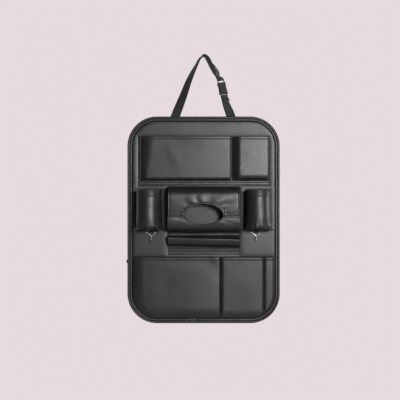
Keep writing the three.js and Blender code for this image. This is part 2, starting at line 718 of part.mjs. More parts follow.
function lowerLeftPocket() {
  const bottom = -TOP + LOWER_POCKET_EDGE;
  const depth = LOWER_LEFT_DEPTH;
  const left = (z) => -panelHalfWidth(z, LOWER_POCKET_EDGE);
  return patchPocket({
    left,
    right: () => LOWER_SPLIT,
    bottom,
    top: LOWER_TOP,
    depth,
    columns: [0, 0.012, 0.03, 0.06, 0.11, 0.2, 0.35, 0.55, 0.75, 0.92, 0.985, 0.994, 1],
    height: (x, z) => {
      const outer = rise((x - left(z)) / LOWER_LEFT_OUTER_RUN);
      const inner = rise((LOWER_SPLIT - x) / LOWER_LEFT_INNER_RUN);
      const crown = 1 - LOWER_LEFT_CROWN * (LOWER_SPLIT - x) / (LOWER_SPLIT - left(z));
      return depth * outer * inner * crown * rise((z - bottom) / LOWER_LEFT_BOTTOM_RUN);
    },
  });
}

function lowerRightPocket() {
  const bottom = -TOP + LOWER_POCKET_EDGE;
  const depth = LOWER_RIGHT_DEPTH;
  const left = LOWER_SPLIT + POCKET_GAP;
  const right = (z) => panelHalfWidth(z, LOWER_POCKET_EDGE);
  const seam = PANEL_WIDTH / 2 - LOWER_POCKET_EDGE - PEN_SLOT_WIDTH;
  return patchPocket({
    left: () => left,
    right,
    bottom,
    top: LOWER_TOP,
    depth,
    columns: [0, 0.03, 0.08, 0.2, 0.4, 0.58, 0.7, 0.75, 0.78, 0.81, 0.86, 0.91, 0.95, 0.98, 1],
    height: (x, z) => {
      const nearSeam = PEN_SEAM_RISE + (1 - PEN_SEAM_RISE) * rise(Math.abs(x - seam) / PEN_SEAM_RUN);
      const inner = rise((x - left) / LOWER_RIGHT_INNER_RUN);
      const outer = rise((right(z) - x) / LOWER_RIGHT_OUTER_RUN);
      return depth * inner * outer * nearSeam * rise((z - bottom) / LOWER_RIGHT_BOTTOM_RUN);
    },
  });
}

// A rounded strip that covers the seam under the upper pockets.
function middleSeamStrip() {
  const half = PANEL_WIDTH / 2 - STRIP_SIDE_MARGIN;
  const front = SEWN - STRIP_THICKNESS;
  const section = [
    [SEWN, STRIP_BOTTOM],
    [front + STRIP_ROUND_DEPTH, STRIP_BOTTOM],
    [front, STRIP_BOTTOM + STRIP_ROUND_HEIGHT],
    [front, STRIP_TOP - STRIP_ROUND_HEIGHT],
    [front + STRIP_ROUND_DEPTH, STRIP_TOP],
    [SEWN, STRIP_TOP],
  ];
  return loft([-half, half].map((x) => section.map(([y, z]) => new THREE.Vector3(x, y, z))));
}

// A cup holder's plan at a given growth over its nominal size: from the panel round the front and back.
function cupPlan(centreX, grow, wave = 0) {
  const radius = CUP_WIDTH / 2 + grow;
  const middleY = SEWN - CUP_DEPTH + CUP_WIDTH / 2;
  const points = [[centreX - radius, SEWN], [centreX - radius, (SEWN + middleY) / 2]];
  for (let k = 0; k <= CUP_STEPS; k += 1) {
    const angle = Math.PI + k / CUP_STEPS * Math.PI;
    const reach = radius + wave * (k % 2 ? 1 : -1);
    points.push([centreX + reach * Math.cos(angle), middleY + reach * Math.sin(angle)]);
  }
  points.push([centreX + radius, (SEWN + middleY) / 2], [centreX + radius, SEWN]);
  return points;
}

function cupHolder(centreX) {
  const bottom = CUP_BOTTOM;
  const rows = [
    [bottom, CUP_FLARE, CUP_GATHER[0]],
    [bottom + CUP_SKIRT / 2, CUP_NECK / 2, CUP_GATHER[1]],
    [bottom + CUP_SKIRT, -CUP_NECK, CUP_GATHER[2]],
    [bottom + CUP_SKIRT * 2, CUP_PUFF, 0],
    [(bottom + CUP_RIM) / 2, 0, 0],
    [CUP_RIM - CUP_BAND_DROP, -CUP_NECK, 0],
    [CUP_RIM, CUP_NECK, 0],
  ];
  const grid = rows.map(([z, grow, wave]) => (
    cupPlan(centreX, grow, wave).map(([x, y]) => new THREE.Vector3(x, y, z))));
  return thickSheet(grid, LEATHER);
}

function cupBase(centreX) {
  const bottom = CUP_BOTTOM + CUP_SKIRT;
  const plan = cupPlan(centreX, -LEATHER - 3 * FIT);
  return loft([bottom, bottom + LEATHER].map((z) => plan.map(([x, y]) => new THREE.Vector3(x, y, z))));
}

// A band of leather across the pouch: profile points of depth and height, run along X.
function bandSheet(profile, halfWidth, columns, tiltOf) {
  const grid = profile.map(([y, z], j) => Array.from({ length: columns + 1 }, (_, i) => {
    const x = THREE.MathUtils.lerp(-halfWidth, halfWidth, i / columns);
    return new THREE.Vector3(x, y, z - tiltOf(j) * (x / (2 * halfWidth)));
  }));
  return thickSheet(grid, LEATHER);
}

// The top flap: sewn under the strip, forward over the pouch and down its front, with an arch cut
// out of its lower edge.
function tissueFlap() {
  const front = FLAP_FRONT;
  const deep = SEWN - front;
  const profile = [
    [front, FLAP_BOTTOM],
    ...FLAP_BELLY.map(([back, up]) => [front + deep * back, FLAP_BOTTOM + FLAP_HEIGHT * up]),
    [SEWN, POUCH_TOP],
  ];
  const sheet = bandSheet(profile, POUCH_HALF_WIDTH - LEATHER, 8, () => 0);
  return cut(sheet, archCutter());
}

// The upper half of the oval opening for drawing tissues, straight below its feet.
function archCutter() {
  const thickness = POUCH_DEPTH / 2;
  const shape = new THREE.Shape();
  shape.moveTo(-ARCH_WIDTH / 2, -NOTCH_DEPTH);
  shape.lineTo(ARCH_WIDTH / 2, -NOTCH_DEPTH);
  shape.lineTo(ARCH_WIDTH / 2, 0);
  shape.absellipse(0, 0, ARCH_WIDTH / 2, ARCH_HEIGHT, 0, Math.PI, false);
  return extrude(shape, thickness, ARCH_STEPS)
    .rotateX(Math.PI / 2)
    .translate(0, FLAP_FRONT + thickness - HEM_HEIGHT, FLAP_BOTTOM + ARCH_FOOT);
}

// The lower half of the oval, cut down into the sleeve's top edge.
function notchCutter() {
  const thickness = POUCH_DEPTH / 2;
  const shape = new THREE.Shape();
  shape.moveTo(ARCH_WIDTH / 2, SLEEVE_LAP * 2);
  shape.lineTo(-ARCH_WIDTH / 2, SLEEVE_LAP * 2);
  shape.lineTo(-ARCH_WIDTH / 2, 0);
  shape.absellipse(0, 0, ARCH_WIDTH / 2, NOTCH_DEPTH, Math.PI, 2 * Math.PI, false);
  return extrude(shape, thickness, ARCH_STEPS)
    .rotateX(Math.PI / 2)
    .translate(0, POUCH_FRONT + thickness / 2, FLAP_BOTTOM + ARCH_FOOT);
}

// The sleeve: one long sheet, sewn to the panel at its foot, folded out into a slack band, back to
// the panel, and out again under and up the front of the pouch.
function tissueSleeve() {
  const flat = SEWN - LEATHER;
  const front = POUCH_FRONT;
  const slack = SEWN - SLACK_DEPTH;
  const valley = SEWN - VALLEY_DEPTH;
  const top = FLAP_BOTTOM + SLEEVE_LAP;
  const fold = FOLD_RADIUS;
  const profile = [
    [flat, HEM_BOTTOM],
    [flat, SLACK_BOTTOM - fold * 1.2],
    [flat - fold * 0.4, SLACK_BOTTOM - fold * 0.44],
    [flat - fold * 1.4, SLACK_BOTTOM - fold * 0.12],
    [slack + SLACK_LEAN + fold, SLACK_BOTTOM + fold * 0.12],
    [slack + SLACK_LEAN * 0.85, SLACK_BOTTOM + fold * 0.8],
    [slack + SLACK_LEAN * 0.3, SLACK_BOTTOM + SLACK_HEIGHT * 0.45],
    [slack + fold * 0.1, SLACK_TOP - fold],
    [slack + fold * 0.9, SLACK_TOP - fold * 0.28],
    [valley - fold * 1.6, SLACK_TOP + fold * 0.12],
    [valley - fold * 0.48, SLACK_TOP + fold * 0.48],
    [valley, SLACK_TOP + VALLEY_HEIGHT * 0.45],
    [valley - fold * 0.44, POUCH_BOTTOM - fold * 0.68],
    [valley - fold * 1.4, POUCH_BOTTOM - fold * 0.2],
    [front + POUCH_HEEL * 0.86, POUCH_BOTTOM + POUCH_HEEL * 0.1],
    [front + POUCH_HEEL * 0.28, POUCH_BOTTOM + POUCH_HEEL * 0.43],
    [front + POUCH_HEEL * 0.06, POUCH_BOTTOM + POUCH_HEEL],
    [front, POUCH_BOTTOM + POUCH_HEEL_RISE],
    [front, (POUCH_BOTTOM + POUCH_HEEL_RISE + top) / 2],
    [front, top],
  ];
  const tilted = profile.findIndex(([, z]) => z > SLACK_TOP + fold * 0.3);
  const tilt = (j) => (j > 1 && j < tilted ? POUCH_TILT : 0);
  const sheet = bandSheet(profile, POUCH_HALF_WIDTH, 6, tilt);
  return cut(sheet, notchCutter());
}

// Hook-and-loop patches behind the flap's two legs and on the sleeve in front of them.
function fastenerPatch(side, front) {
  const outer = side * (POUCH_HALF_WIDTH - FASTENER_MARGIN);
  const inner = outer - side * FASTENER_WIDTH;
  const low = FLAP_BOTTOM + FASTENER_MARGIN;
  return boxBetween(
    [Math.min(outer, inner), front, low],
    [Math.max(outer, inner), front + FASTENER_THICKNESS, low + FASTENER_HEIGHT]);
}

function flapPatch(side) {
  return fastenerPatch(side, FLAP_FRONT + LEATHER + FIT);
}

function sleevePatch(side) {
  return fastenerPatch(side, POUCH_FRONT - FIT - FASTENER_THICKNESS);
}

// A webbing loop, sewn to the panel, that holds a hook's bar.
function hookTab(centreX) {
  const radius = HOOK_WIRE_RADIUS + FIT + TAB_THICKNESS;
  const top = CUP_BOTTOM + TAB_TOP_RISE;
  const path = [[SEWN, top], [SEWN, (top + HOOK_BAR_Z) / 2]];
  for (let k = 0; k <= BEND_STEPS; k += 1) {
    const angle = -k / BEND_STEPS * Math.PI;
    path.push([HOOK_BAR_Y + radius * Math.cos(angle), HOOK_BAR_Z + radius * Math.sin(angle)]);
  }
  path.push([SEWN - 2 * TAB_THICKNESS - 2 * FIT, top - TAB_LAP], [SEWN - 2 * TAB_THICKNESS - FIT, top]);
  const grid = path.map(([y, z]) => [-1, 1].map((side) => (
    new THREE.Vector3(centreX + side * TAB_WIDTH / 2, y, z))));
  return thickSheet(grid, TAB_THICKNESS);
}

// A wire hook: a flat loop with two rounded ears, closed into a stem that ends in an open bend.
function hook(centreX) {
  const ear = HOOK_EAR_SPAN / 2;
  const drop = HOOK_LOOP_DROP;
  const half = HOOK_OUTLINE.map(([across, down]) => [ear * across, -drop * down]);
  const mirrored = half.map(([x, z]) => [-x, z]).reverse();
  const outline = [...half, [0, -drop], ...mirrored];
  const loopCurve = new THREE.CatmullRomCurve3(
    outline.map(([x, z]) => new THREE.Vector3(x, 0, z)), true, 'centripetal');
  const bend = HOOK_BEND_RADIUS;
  const foot = -drop - HOOK_STEM;
  const stemPoints = [new THREE.Vector3(0, 0, -drop + FIT), new THREE.Vector3(0, 0, foot)];
  for (let k = 1; k <= BEND_STEPS; k += 1) {
    const angle = k / BEND_STEPS * Math.PI;
    stemPoints.push(new THREE.Vector3(0, -bend + bend * Math.cos(angle), foot - bend * Math.sin(angle)));
  }
  stemPoints.push(new THREE.Vector3(0, -2 * bend - 2 * FIT, foot + HOOK_TIP));
  const stem = new THREE.CatmullRomCurve3(stemPoints, false, 'centripetal');
  const body = join(
    wire(loopCurve, HOOK_WIRE_RADIUS, LOOP_STEPS, true),
    wire(stem, HOOK_WIRE_RADIUS * HOOK_STEM_SWELL, STEM_STEPS, false));
  return body.translate(centreX, HOOK_BAR_Y, HOOK_BAR_Z);
}

// Buckle pieces are drawn upright about the joint between plug and socket, then leaned and turned.
function roundedPlate(width, low, high, thickness, radius) {
  const shape = new THREE.Shape();
  const x = width / 2;
  shape.moveTo(-x + radius, low);
  shape.lineTo(x - radius, low);
  shape.absarc(x - radius, low + radius, radius, -Math.PI / 2, 0, false);
  shape.absarc(x - radius, high - radius, radius, 0, Math.PI / 2, false);
  shape.absarc(-x + radius, high - radius, radius, Math.PI / 2, Math.PI, false);
  shape.absarc(-x + radius, low + radius, radius, Math.PI, 1.5 * Math.PI, false);
  return extrude(shape, thickness, MOULDING_STEPS)
    .rotateX(Math.PI / 2)
    .translate(0, thickness / 2, 0);
}

function standUp(geometry) {
  return geometry
    .rotateZ(BUCKLE_TURN)
    .rotateY(-BUCKLE_LEAN)
    .translate(buckleCentre.x, buckleCentre.y, buckleCentre.z);
}

function buckleSocket() {
  const width = BUCKLE_WIDTH - BUCKLE_EDGE;
  const top = SOCKET_LENGTH + SOCKET_WINDOW + BAR_THICKNESS;
  const neck = SOCKET_LENGTH + MOULDING_OVERLAP;
  const shell = roundedPlate(width, 0, neck, BUCKLE_THICKNESS, SHELL_ROUND);
  const frame = roundedPlate(width, SOCKET_LENGTH - BAR_THICKNESS, top, BAR_THICKNESS, FRAME_ROUND);
  const window = roundedPlate(
    WEBBING_WIDTH + 2 * FIT, neck, SOCKET_LENGTH + SOCKET_WINDOW, BUCKLE_WIDTH, WINDOW_ROUND);
  const room = BUCKLE_THICKNESS / 2 - BUCKLE_WALL;
  const reach = width / 2 - BUCKLE_WALL;
  const cavity = boxBetween([-reach, -room, -MOULDING_OVERLAP], [reach, room, PRONG_LENGTH + LATCH_ROOM]);
  const sideOpening = boxBetween(
    [-width, -room, SOCKET_SIDE_OPENING[0]], [width, room, SOCKET_SIDE_OPENING[1]]);
  return standUp(cut(join(shell, frame), window, cavity, sideOpening));
}

function bucklePlug() {
  const width = BUCKLE_WIDTH - BUCKLE_EDGE;
  const low = -SHOULDER_LENGTH - PLUG_WINDOW - BAR_THICKNESS;
  const shoulder = roundedPlate(
    BUCKLE_WIDTH, -SHOULDER_LENGTH, -FIT, BUCKLE_THICKNESS - PLUG_SLACK, FRAME_ROUND);
  const frame = roundedPlate(width, low, -MOULDING_OVERLAP, BAR_THICKNESS, FRAME_ROUND);
  const window = roundedPlate(
    WEBBING_WIDTH + 2 * FIT, low + BAR_THICKNESS, -SHOULDER_LENGTH, BUCKLE_WIDTH, WINDOW_ROUND);
  const half = BUCKLE_THICKNESS / 2 - BUCKLE_WALL - FIT;
  const reach = width / 2 - BUCKLE_WALL - FIT;
  const prongs = [-1, 1].map((side) => boxBetween(
    [side > 0 ? reach - PRONG_WIDTH : -reach, -half, -MOULDING_OVERLAP],
    [side > 0 ? reach : -reach + PRONG_WIDTH, half, PRONG_LENGTH]));
  const guide = boxBetween(
    [-GUIDE_WIDTH / 2, -half, -MOULDING_OVERLAP], [GUIDE_WIDTH / 2, half, PRONG_LENGTH * GUIDE_SHARE]);
  return standUp(join(cut(join(shoulder, frame), window), ...prongs, guide));
}

// Assembly
const organizer = new THREE.Group();

function addPiece(name, geometry, material) {
  const mesh = new THREE.Mesh(geometry, material);
  mesh.name = name;
  organizer.add(mesh);
}

addPiece('back_sheet', backSheet(), lining);
addPiece('stiffener_board', stiffenerBoard(), board);
addPiece('front_sheet', frontSheet(), leather);
addPiece('edge_binding', edgeBinding(), leather);
addPiece('upper_left_pocket', upperLeftPocket(), leather);
addPiece('upper_right_pocket', upperRightPocket(), leather);
addPiece('middle_seam_strip', middleSeamStrip(), leather);
addPiece('tissue_sleeve', tissueSleeve(), leather);
addPiece('tissue_flap', tissueFlap(), leather);
addPiece('lower_left_pocket', lowerLeftPocket(), leather);
addPiece('lower_right_pocket', lowerRightPocket(), leather);
for (const [name, side] of [['left', -1], ['right', 1]]) {
  const centreX = side * CUP_CENTRE;
  addPiece(`${name}_cup_holder`, cupHolder(centreX), leather);
  addPiece(`${name}_cup_base`, cupBase(centreX), leather);
  addPiece(`${name}_hook_tab`, hookTab(centreX - side * HOOK_INSET), webbing);
  addPiece(`${name}_hook`, hook(centreX - side * HOOK_INSET), chrome);
  addPiece(`${name}_flap_fastener`, flapPatch(side), webbing);
  addPiece(`${name}_sleeve_fastener`, sleevePatch(side), webbing);
}
addPiece('upper_strap', upperStrap(), webbing);
addPiece('lower_strap', lowerStrap(), webbing);
addPiece('buckle_socket', buckleSocket(), moulding);
addPiece('buckle_plug', bucklePlug(), moulding);
addPiece('left_side_tab', sideTabBox(0), webbing);

export default organizer;
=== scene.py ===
import math

import bmesh
import bpy
import numpy as np
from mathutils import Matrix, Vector


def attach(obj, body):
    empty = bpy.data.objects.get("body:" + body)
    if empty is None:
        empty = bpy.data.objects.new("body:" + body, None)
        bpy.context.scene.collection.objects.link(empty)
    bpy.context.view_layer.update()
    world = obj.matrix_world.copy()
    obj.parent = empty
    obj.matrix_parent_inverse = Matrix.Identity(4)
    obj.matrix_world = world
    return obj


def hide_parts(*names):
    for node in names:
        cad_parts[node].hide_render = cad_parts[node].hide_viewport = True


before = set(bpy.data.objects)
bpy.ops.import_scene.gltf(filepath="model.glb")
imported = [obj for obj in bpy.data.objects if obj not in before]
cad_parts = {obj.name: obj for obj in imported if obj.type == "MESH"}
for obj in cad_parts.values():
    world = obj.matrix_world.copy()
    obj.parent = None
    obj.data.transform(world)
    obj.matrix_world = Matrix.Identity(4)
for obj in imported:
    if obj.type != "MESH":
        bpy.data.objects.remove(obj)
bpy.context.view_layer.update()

# Sizes in millimetres, in the frame of the CAD part: X right, Z up, the front faces -Y.
MM = 0.001
LEATHER = 1.5
PANEL_WIDTH, PANEL_HEIGHT, CORNER = 420.0, 570.0, 82.0
TOP = PANEL_HEIGHT / 2
SEWN = -8.3
SEAM_INSET, BACK_INSET, TAPE_INSET = 12.3, 12.0, 6.95
SEAM_Y, FACE_BACK_Y, SHOULDER, PUFF = -5.4, -4.25, 2.7, 1.7
UPPER_TOP, UPPER_BOTTOM, UPPER_HALF = 228.2, 107.2, 180.0
STRIP_TOP, STRIP_BOTTOM, STRIP_HALF = 104.2, 94.6, 181.0
POUCH_TOP = 92.5
FLAP_BOTTOM, SLEEVE_TOP = 8.5, 34.5
HEM_BOTTOM, HEM_SEAMS = -96.0, (-94.0, -80.0)
LOWER_TOP, LOWER_BOTTOM, LOWER_EDGE, LOWER_HALF = -104.0, -270.8, 14.2, 196.0
POUCH_FRONT, FLAP_FRONT, POUCH_HALF = -54.3, -59.1, 98.0
ARCH_HALF, ARCH_HEIGHT, ARCH_FOOT, NOTCH_DEPTH = 53.0, 31.0, 5.0, 24.0
LEG_SEAMS = (25.4, 3.0)
CUP_X, CUP_RADIUS, CUP_MIDDLE_Y = 149.25, 33.75, -44.55
CUP_RIM, CUP_BOTTOM, CUP_FLOOR, CUP_SEAM = 81.0, -28.0, -20.0, 63.8
CUP_AROUND = 2 * (SEWN - CUP_MIDDLE_Y) + math.pi * CUP_RADIUS
HOOK_X, BAR_Y, BAR_Z, WIRE, WIRE_SIDES = 144.25, -11.2, -33.0, 1.4, 16
HEM, HEM_STITCH, EDGE_STITCH = 7.6, 6.1, 3.2
STITCH_PITCH, STITCH_RADIUS, STITCH_LIFT = 3.7, 0.42, 0.05


# Curves and noise.

def clamp(t):
    return np.clip(t, 0.0, 1.0)


def rise(t):
    left = 1 - clamp(t)
    return np.sqrt(1 - left * left)


def ease(t):
    t = clamp(t)
    return t * t * (3 - 2 * t)


def bell(t):
    return np.exp(-np.square(t))


def noise(u, v, cell, seed):
    """Smooth noise from -1 to 1 over a plane, in blotches of about that many millimetres."""
    table = np.random.default_rng(seed).uniform(-1, 1, (64, 64))
    u, v = np.broadcast_arrays(np.asarray(u, float) / cell, np.asarray(v, float) / cell)
    iu, iv = np.floor(u).astype(int), np.floor(v).astype(int)
    fu, fv = ease(u - iu), ease(v - iv)
    pick = lambda a, b: table[(iu + a) % 64, (iv + b) % 64]
    low = pick(0, 0) * (1 - fu) + pick(1, 0) * fu
    high = pick(0, 1) * (1 - fu) + pick(1, 1) * fu
    return low * (1 - fv) + high * fv


def unit(v):
    return v / np.maximum(np.linalg.norm(v, axis=-1, keepdims=True), 1e-9)


NEAR = np.array([0, 0.35, 0.8, 1.3, 1.9, 2.6, 3.4, 4.3, 5.3, 6.4, 7.6])


def span(low, high, step, near=NEAR):
    """Places from low to high, closer together near both ends. low and high may be arrays of rows."""
    low, high = np.atleast_1d(np.asarray(low, float)), np.atleast_1d(np.asarray(high, float))
    low, high = np.broadcast_arrays(low, high)
    reach = near[-1]
    count = max(2, int(np.max(high - low - 2 * reach) / step))
    share = np.linspace(0, 1, count + 1)[1:-1]
    middle = (low + reach)[:, None] * (1 - share) + (high - reach)[:, None] * share
    return np.hstack([low[:, None] + near, middle, high[:, None] - near[::-1]])


def distances(points):
    """How far along a polyline each of its points lies."""
    return np.concatenate([[0], np.cumsum(np.linalg.norm(np.diff(points, axis=0), axis=1))])


def along_at(want, run, data):
    """Rows of three numbers, read off where the run has reached what is wanted."""
    return np.stack([np.interp(want, run, data[:, k]) for k in range(3)], -1)


def four_by_four(points):
    """Each span's two ends with the points before and after them."""
    points = np.asarray(points, float)
    ends = np.vstack([2 * points[0] - points[1], points, 2 * points[-1] - points[-2]])
    return zip(ends[:-3], ends[1:-2], ends[2:-1], ends[3:])


def resample(points, count):
    """A polyline's points spread evenly along its length by a smooth curve through them."""
    points = np.asarray(points, float)
    t = np.linspace(0, 1, 24, endpoint=False)[:, None]
    dense = []
    for a, b, c, d in four_by_four(points):
        square, cube = 2 * a - 5 * b + 4 * c - d, 3 * b - a - 3 * c + d
        dense.append(0.5 * (2 * b + (c - a) * t + square * t**2 + cube * t**3))
    dense = np.vstack([*dense, points[-1:]])
    run = distances(dense)
    want = np.linspace(0, run[-1], count)
    return np.stack([np.interp(want, run, column) for column in dense.T], -1)


def spline(points, count):
    """A centripetal curve through points, sampled evenly between each two of them."""
    points = np.asarray(points, float)
    out = []
    for a, b, c, d in four_by_four(points):
        t0 = 0.0
        t1 = t0 + math.sqrt(np.linalg.norm(b - a))
        t2 = t1 + math.sqrt(np.linalg.norm(c - b))
        t3 = t2 + math.sqrt(np.linalg.norm(d - c))
        t = np.linspace(t1, t2, count, endpoint=False)[:, None]
        mix = lambda p, q, start, end: (end - t) / (end - start) * p + (t - start) / (end - start) * q
        first, second, third = mix(a, b, t0, t1), mix(b, c, t1, t2), mix(c, d, t2, t3)
        out.append(mix(mix(first, second, t0, t2), mix(second, third, t1, t3), t1, t2))
    return np.vstack([*out, points[-1:]])


# Meshes.

def add_mesh(name, points, faces, material, body="organizer", nodes=(), uvs=None, sharp=50):
    mesh = bpy.data.meshes.new(name)
    mesh.from_pydata((np.asarray(points).reshape(-1, 3) * MM).tolist(), [],
                     [list(map(int, f)) for f in faces])
    shape = bmesh.new()
    shape.from_mesh(mesh)
    bmesh.ops.recalc_face_normals(shape, faces=shape.faces)
    shape.to_mesh(mesh)
    shape.free()
    mesh.shade_smooth()
    mesh.set_sharp_from_angle(angle=math.radians(sharp))
    if uvs is not None:
        layer = mesh.uv_layers.new(name="along")
        index = np.empty(len(mesh.loops), int)
        mesh.loops.foreach_get("vertex_index", index)
        layer.data.foreach_set("uv", (np.asarray(uvs).reshape(-1, 2) * MM)[index].ravel())
    piece = bpy.data.objects.new(name, mesh)
    bpy.context.scene.collection.objects.link(piece)
    mesh.materials.append(material)
    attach(piece, body)
    if nodes:
        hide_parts(*nodes)
    return piece


def quads(rows, cols, base=0, round_rows=False, round_cols=False):
    r = np.arange(rows if round_rows else rows - 1)[:, None]
    c = np.arange(cols if round_cols else cols - 1)[None, :]
    r2, c2 = (r + 1) % rows, (c + 1) % cols
    return (base + np.stack(np.broadcast_arrays(
        r * cols + c, r * cols + c2, r2 * cols + c2, r2 * cols + c), -1)).reshape(-1, 4)


def border(rows, cols):
    """The grid's edge as a loop of indices, and for each the neighbour just inside it."""
    place = [(0, c) for c in range(cols - 1)] + [(r, cols - 1) for r in range(rows - 1)]
    place += [(rows - 1, c) for c in range(cols - 1, 0, -1)] + [(r, 0) for r in range(rows - 1, 0, -1)]
    inside = [(min(max(r, 1), rows - 2), min(max(c, 1), cols - 2)) for r, c in place]
    index = lambda pairs: np.array([r * cols + c for r, c in pairs])
    return index(place), index(inside)


def capped(rows, cols, base=0):
    """Faces of a tube of that many rings, with a face over each end."""
    ends = [base, base + (rows - 1) * cols]
    return quads(rows, cols, base, round_cols=True).tolist() + [list(range(k, k + cols)) for k in ends]


def normals(grid):
    return unit(np.cross(np.gradient(grid, axis=1), np.gradient(grid, axis=0)))


def front_normals(grid):
    """The grid's normals, turned so that they point to the front."""
    made = normals(grid)
    return made if np.mean(made[..., 1]) < 0 else -made


def thick_grid(outer, inner, bulge=0.42):
    """Points and faces of a closed sheet between two skins, with a rounded edge all round."""
    rows, cols = outer.shape[:2]
    edge, inside = border(rows, cols)
    a, b = outer.reshape(-1, 3), inner.reshape(-1, 3)
    out = unit(a[edge] - a[inside] + b[edge] - b[inside])
    gap = np.linalg.norm(a[edge] - b[edge], axis=1)[:, None]
    rings = [a[edge] * (1 - s) + b[edge] * s + out * gap * bulge * math.sin(s * math.pi)
             for s in (0.2, 0.5, 0.8)]
    points = np.vstack([a, b, *rings])
    n, m = len(a), len(edge)
    faces = list(quads(rows, cols)) + list(quads(rows, cols, n)[:, ::-1])
    chain = [edge, 2 * n + np.arange(m), 2 * n + m + np.arange(m), 2 * n + 2 * m + np.arange(m), n + edge]
    for low, high in zip(chain, chain[1:]):
        faces += list(np.stack([low, np.roll(low, -1), np.roll(high, -1), high], -1))
    return points, faces


def leather_sheet(name, outer, inner, material, node_name):
    points, faces = thick_grid(outer, inner)
    return add_mesh(name, points, faces, material, nodes=[node_name])


class Stitches:
    """Rows of thread stitches, gathered into one piece."""

    SIDES = 6
    # One stitch, as rings of (share of the pitch, thickness, lift off the leather).
    PROFILE = [(0.02, 0.55, -0.55), (0.16, 0.95, -0.02), (0.5, 1.0, 0.1), (0.62, 0.95, -0.02),
               (0.76, 0.55, -0.55)]

    def __init__(self):
        self.points, self.faces, self.count = [], [], 0

    def row(self, path, outward):
        path = np.asarray(path, float)
        outward = np.broadcast_to(np.asarray(outward, float), path.shape)
        run = distances(path)
        number = max(1, int(run[-1] / STITCH_PITCH))
        pitch = run[-1] / number
        start = np.arange(number) * pitch
        spin = np.arange(self.SIDES)[:, None] / self.SIDES * 2 * math.pi
        along = unit(along_at(start + 0.8 * pitch, run, path) - along_at(start, run, path))
        rings = []
        for share, thick, lift in self.PROFILE:
            at = start + share * pitch
            normal = unit(along_at(at, run, outward))
            side = unit(np.cross(along, normal))
            centre = along_at(at, run, path) + normal * lift * STITCH_RADIUS * 1.6
            offset = normal[:, None] * np.cos(spin) + side[:, None] * np.sin(spin)
            rings.append(centre[:, None] + offset * STITCH_RADIUS * thick)
        self.points.append(np.stack(rings, 1).reshape(-1, 3))
        size = len(self.PROFILE) * self.SIDES
        for k in range(number):
            self.faces += capped(len(self.PROFILE), self.SIDES, self.count + k * size)
        self.count += number * size

    def seam(self, outer, normal, where):
        """A row along part of a grid, just proud of it."""
        self.row(outer[where] + normal[where] * STITCH_LIFT, normal[where])

    def build(self, name, material):
        add_mesh(name, np.vstack(self.points), self.faces, material, sharp=80)


# Materials.

def node(tree, kind, inputs=(), **settings):
    made = tree.nodes.new(kind)
    for key, value in settings.items():
        setattr(made, key, value)
    for key, value in dict(inputs).items():
        if isinstance(value, bpy.types.NodeSocket):
            tree.links.new(value, made.inputs[key])
        else:
            made.inputs[key].default_value = value
    return made


def material(name, **uniform):
    made = bpy.data.materials.new(name)
    made.use_nodes = True
    tree = made.node_tree
    shader = tree.nodes["Principled BSDF"]
    for key, value in uniform.items():
        shader.inputs[key.replace("_", " ")].default_value = value
    return made, tree, shader


def ramp(tree, factor, low, high, start=0.0, end=1.0):
    made = node(tree, "ShaderNodeMapRange", {
        "Value": factor, "From Min": start, "From Max": end, "To Min": low, "To Max": high})
    return made.outputs["Result"]


def spots(tree, place, scale, detail, **more):
    """A noise texture's factor."""
    inputs = {"Vector": place, "Scale": scale, "Detail": detail, **more}
    return node(tree, "ShaderNodeTexNoise", inputs).outputs["Fac"]


def coordinates(tree, kind="Object"):
    return node(tree, "ShaderNodeTexCoord").outputs[kind]


def tint(tree, shader, factor, dark, light):
    mix = node(tree, "ShaderNodeMix", {"Factor": factor}, data_type="RGBA")
    mix.inputs[6].default_value = (*dark, 1)
    mix.inputs[7].default_value = (*light, 1)
    tree.links.new(mix.outputs[2], shader.inputs["Base Color"])


def roughen(tree, shader, factor, low, high, start=0.0, end=1.0):
    tree.links.new(ramp(tree, factor, low, high, start, end), shader.inputs["Roughness"])


def relief(tree, shader, *layers):
    """Bump from layers of (height socket, depth in metres)."""
    normal = None
    for height, depth in layers:
        bump = node(tree, "ShaderNodeBump", {"Height": height, "Strength": 1.0, "Distance": depth})
        if normal is not None:
            tree.links.new(normal, bump.inputs["Normal"])
        normal = bump.outputs["Normal"]
    tree.links.new(normal, shader.inputs["Normal"])


def leather(name, tone, rough, grain=1050.0):
    """Leatherette: pebbles with fine creases, over slow blotches in tone and height."""
    made, tree, shader = material(name, Specular_IOR_Level=0.5)
    place = coordinates(tree)
    pebble = node(tree, "ShaderNodeTexVoronoi", {"Vector": place, "Scale": grain, "Randomness": 1.0})
    crease = node(tree, "ShaderNodeTexVoronoi", {"Vector": place, "Scale": grain * 0.55},
                  feature="DISTANCE_TO_EDGE")
    fine = spots(tree, place, 420.0, 5.0, Roughness=0.6)
    broad = spots(tree, place, 26.0, 4.0)
    shade = ramp(tree, broad, 0.0, 1.0, 0.3, 0.7)
    blend = node(tree, "ShaderNodeMath", {0: shade, 1: fine}, operation="MULTIPLY").outputs[0]
    tint(tree, shader, blend, [tone * 0.86] * 2 + [tone * 0.88], [tone * 1.2] * 2 + [tone * 1.22])
    roughen(tree, shader, fine, rough - 0.05, rough + 0.06, 0.3, 0.7)
    edge = ramp(tree, crease.outputs["Distance"], 0.0, 1.0, 0.0, 0.12)
    relief(tree, shader, (broad, 0.00025), (pebble.outputs["Distance"], 0.00008), (edge, 0.00003),
           (fine, 0.00016))
    return made


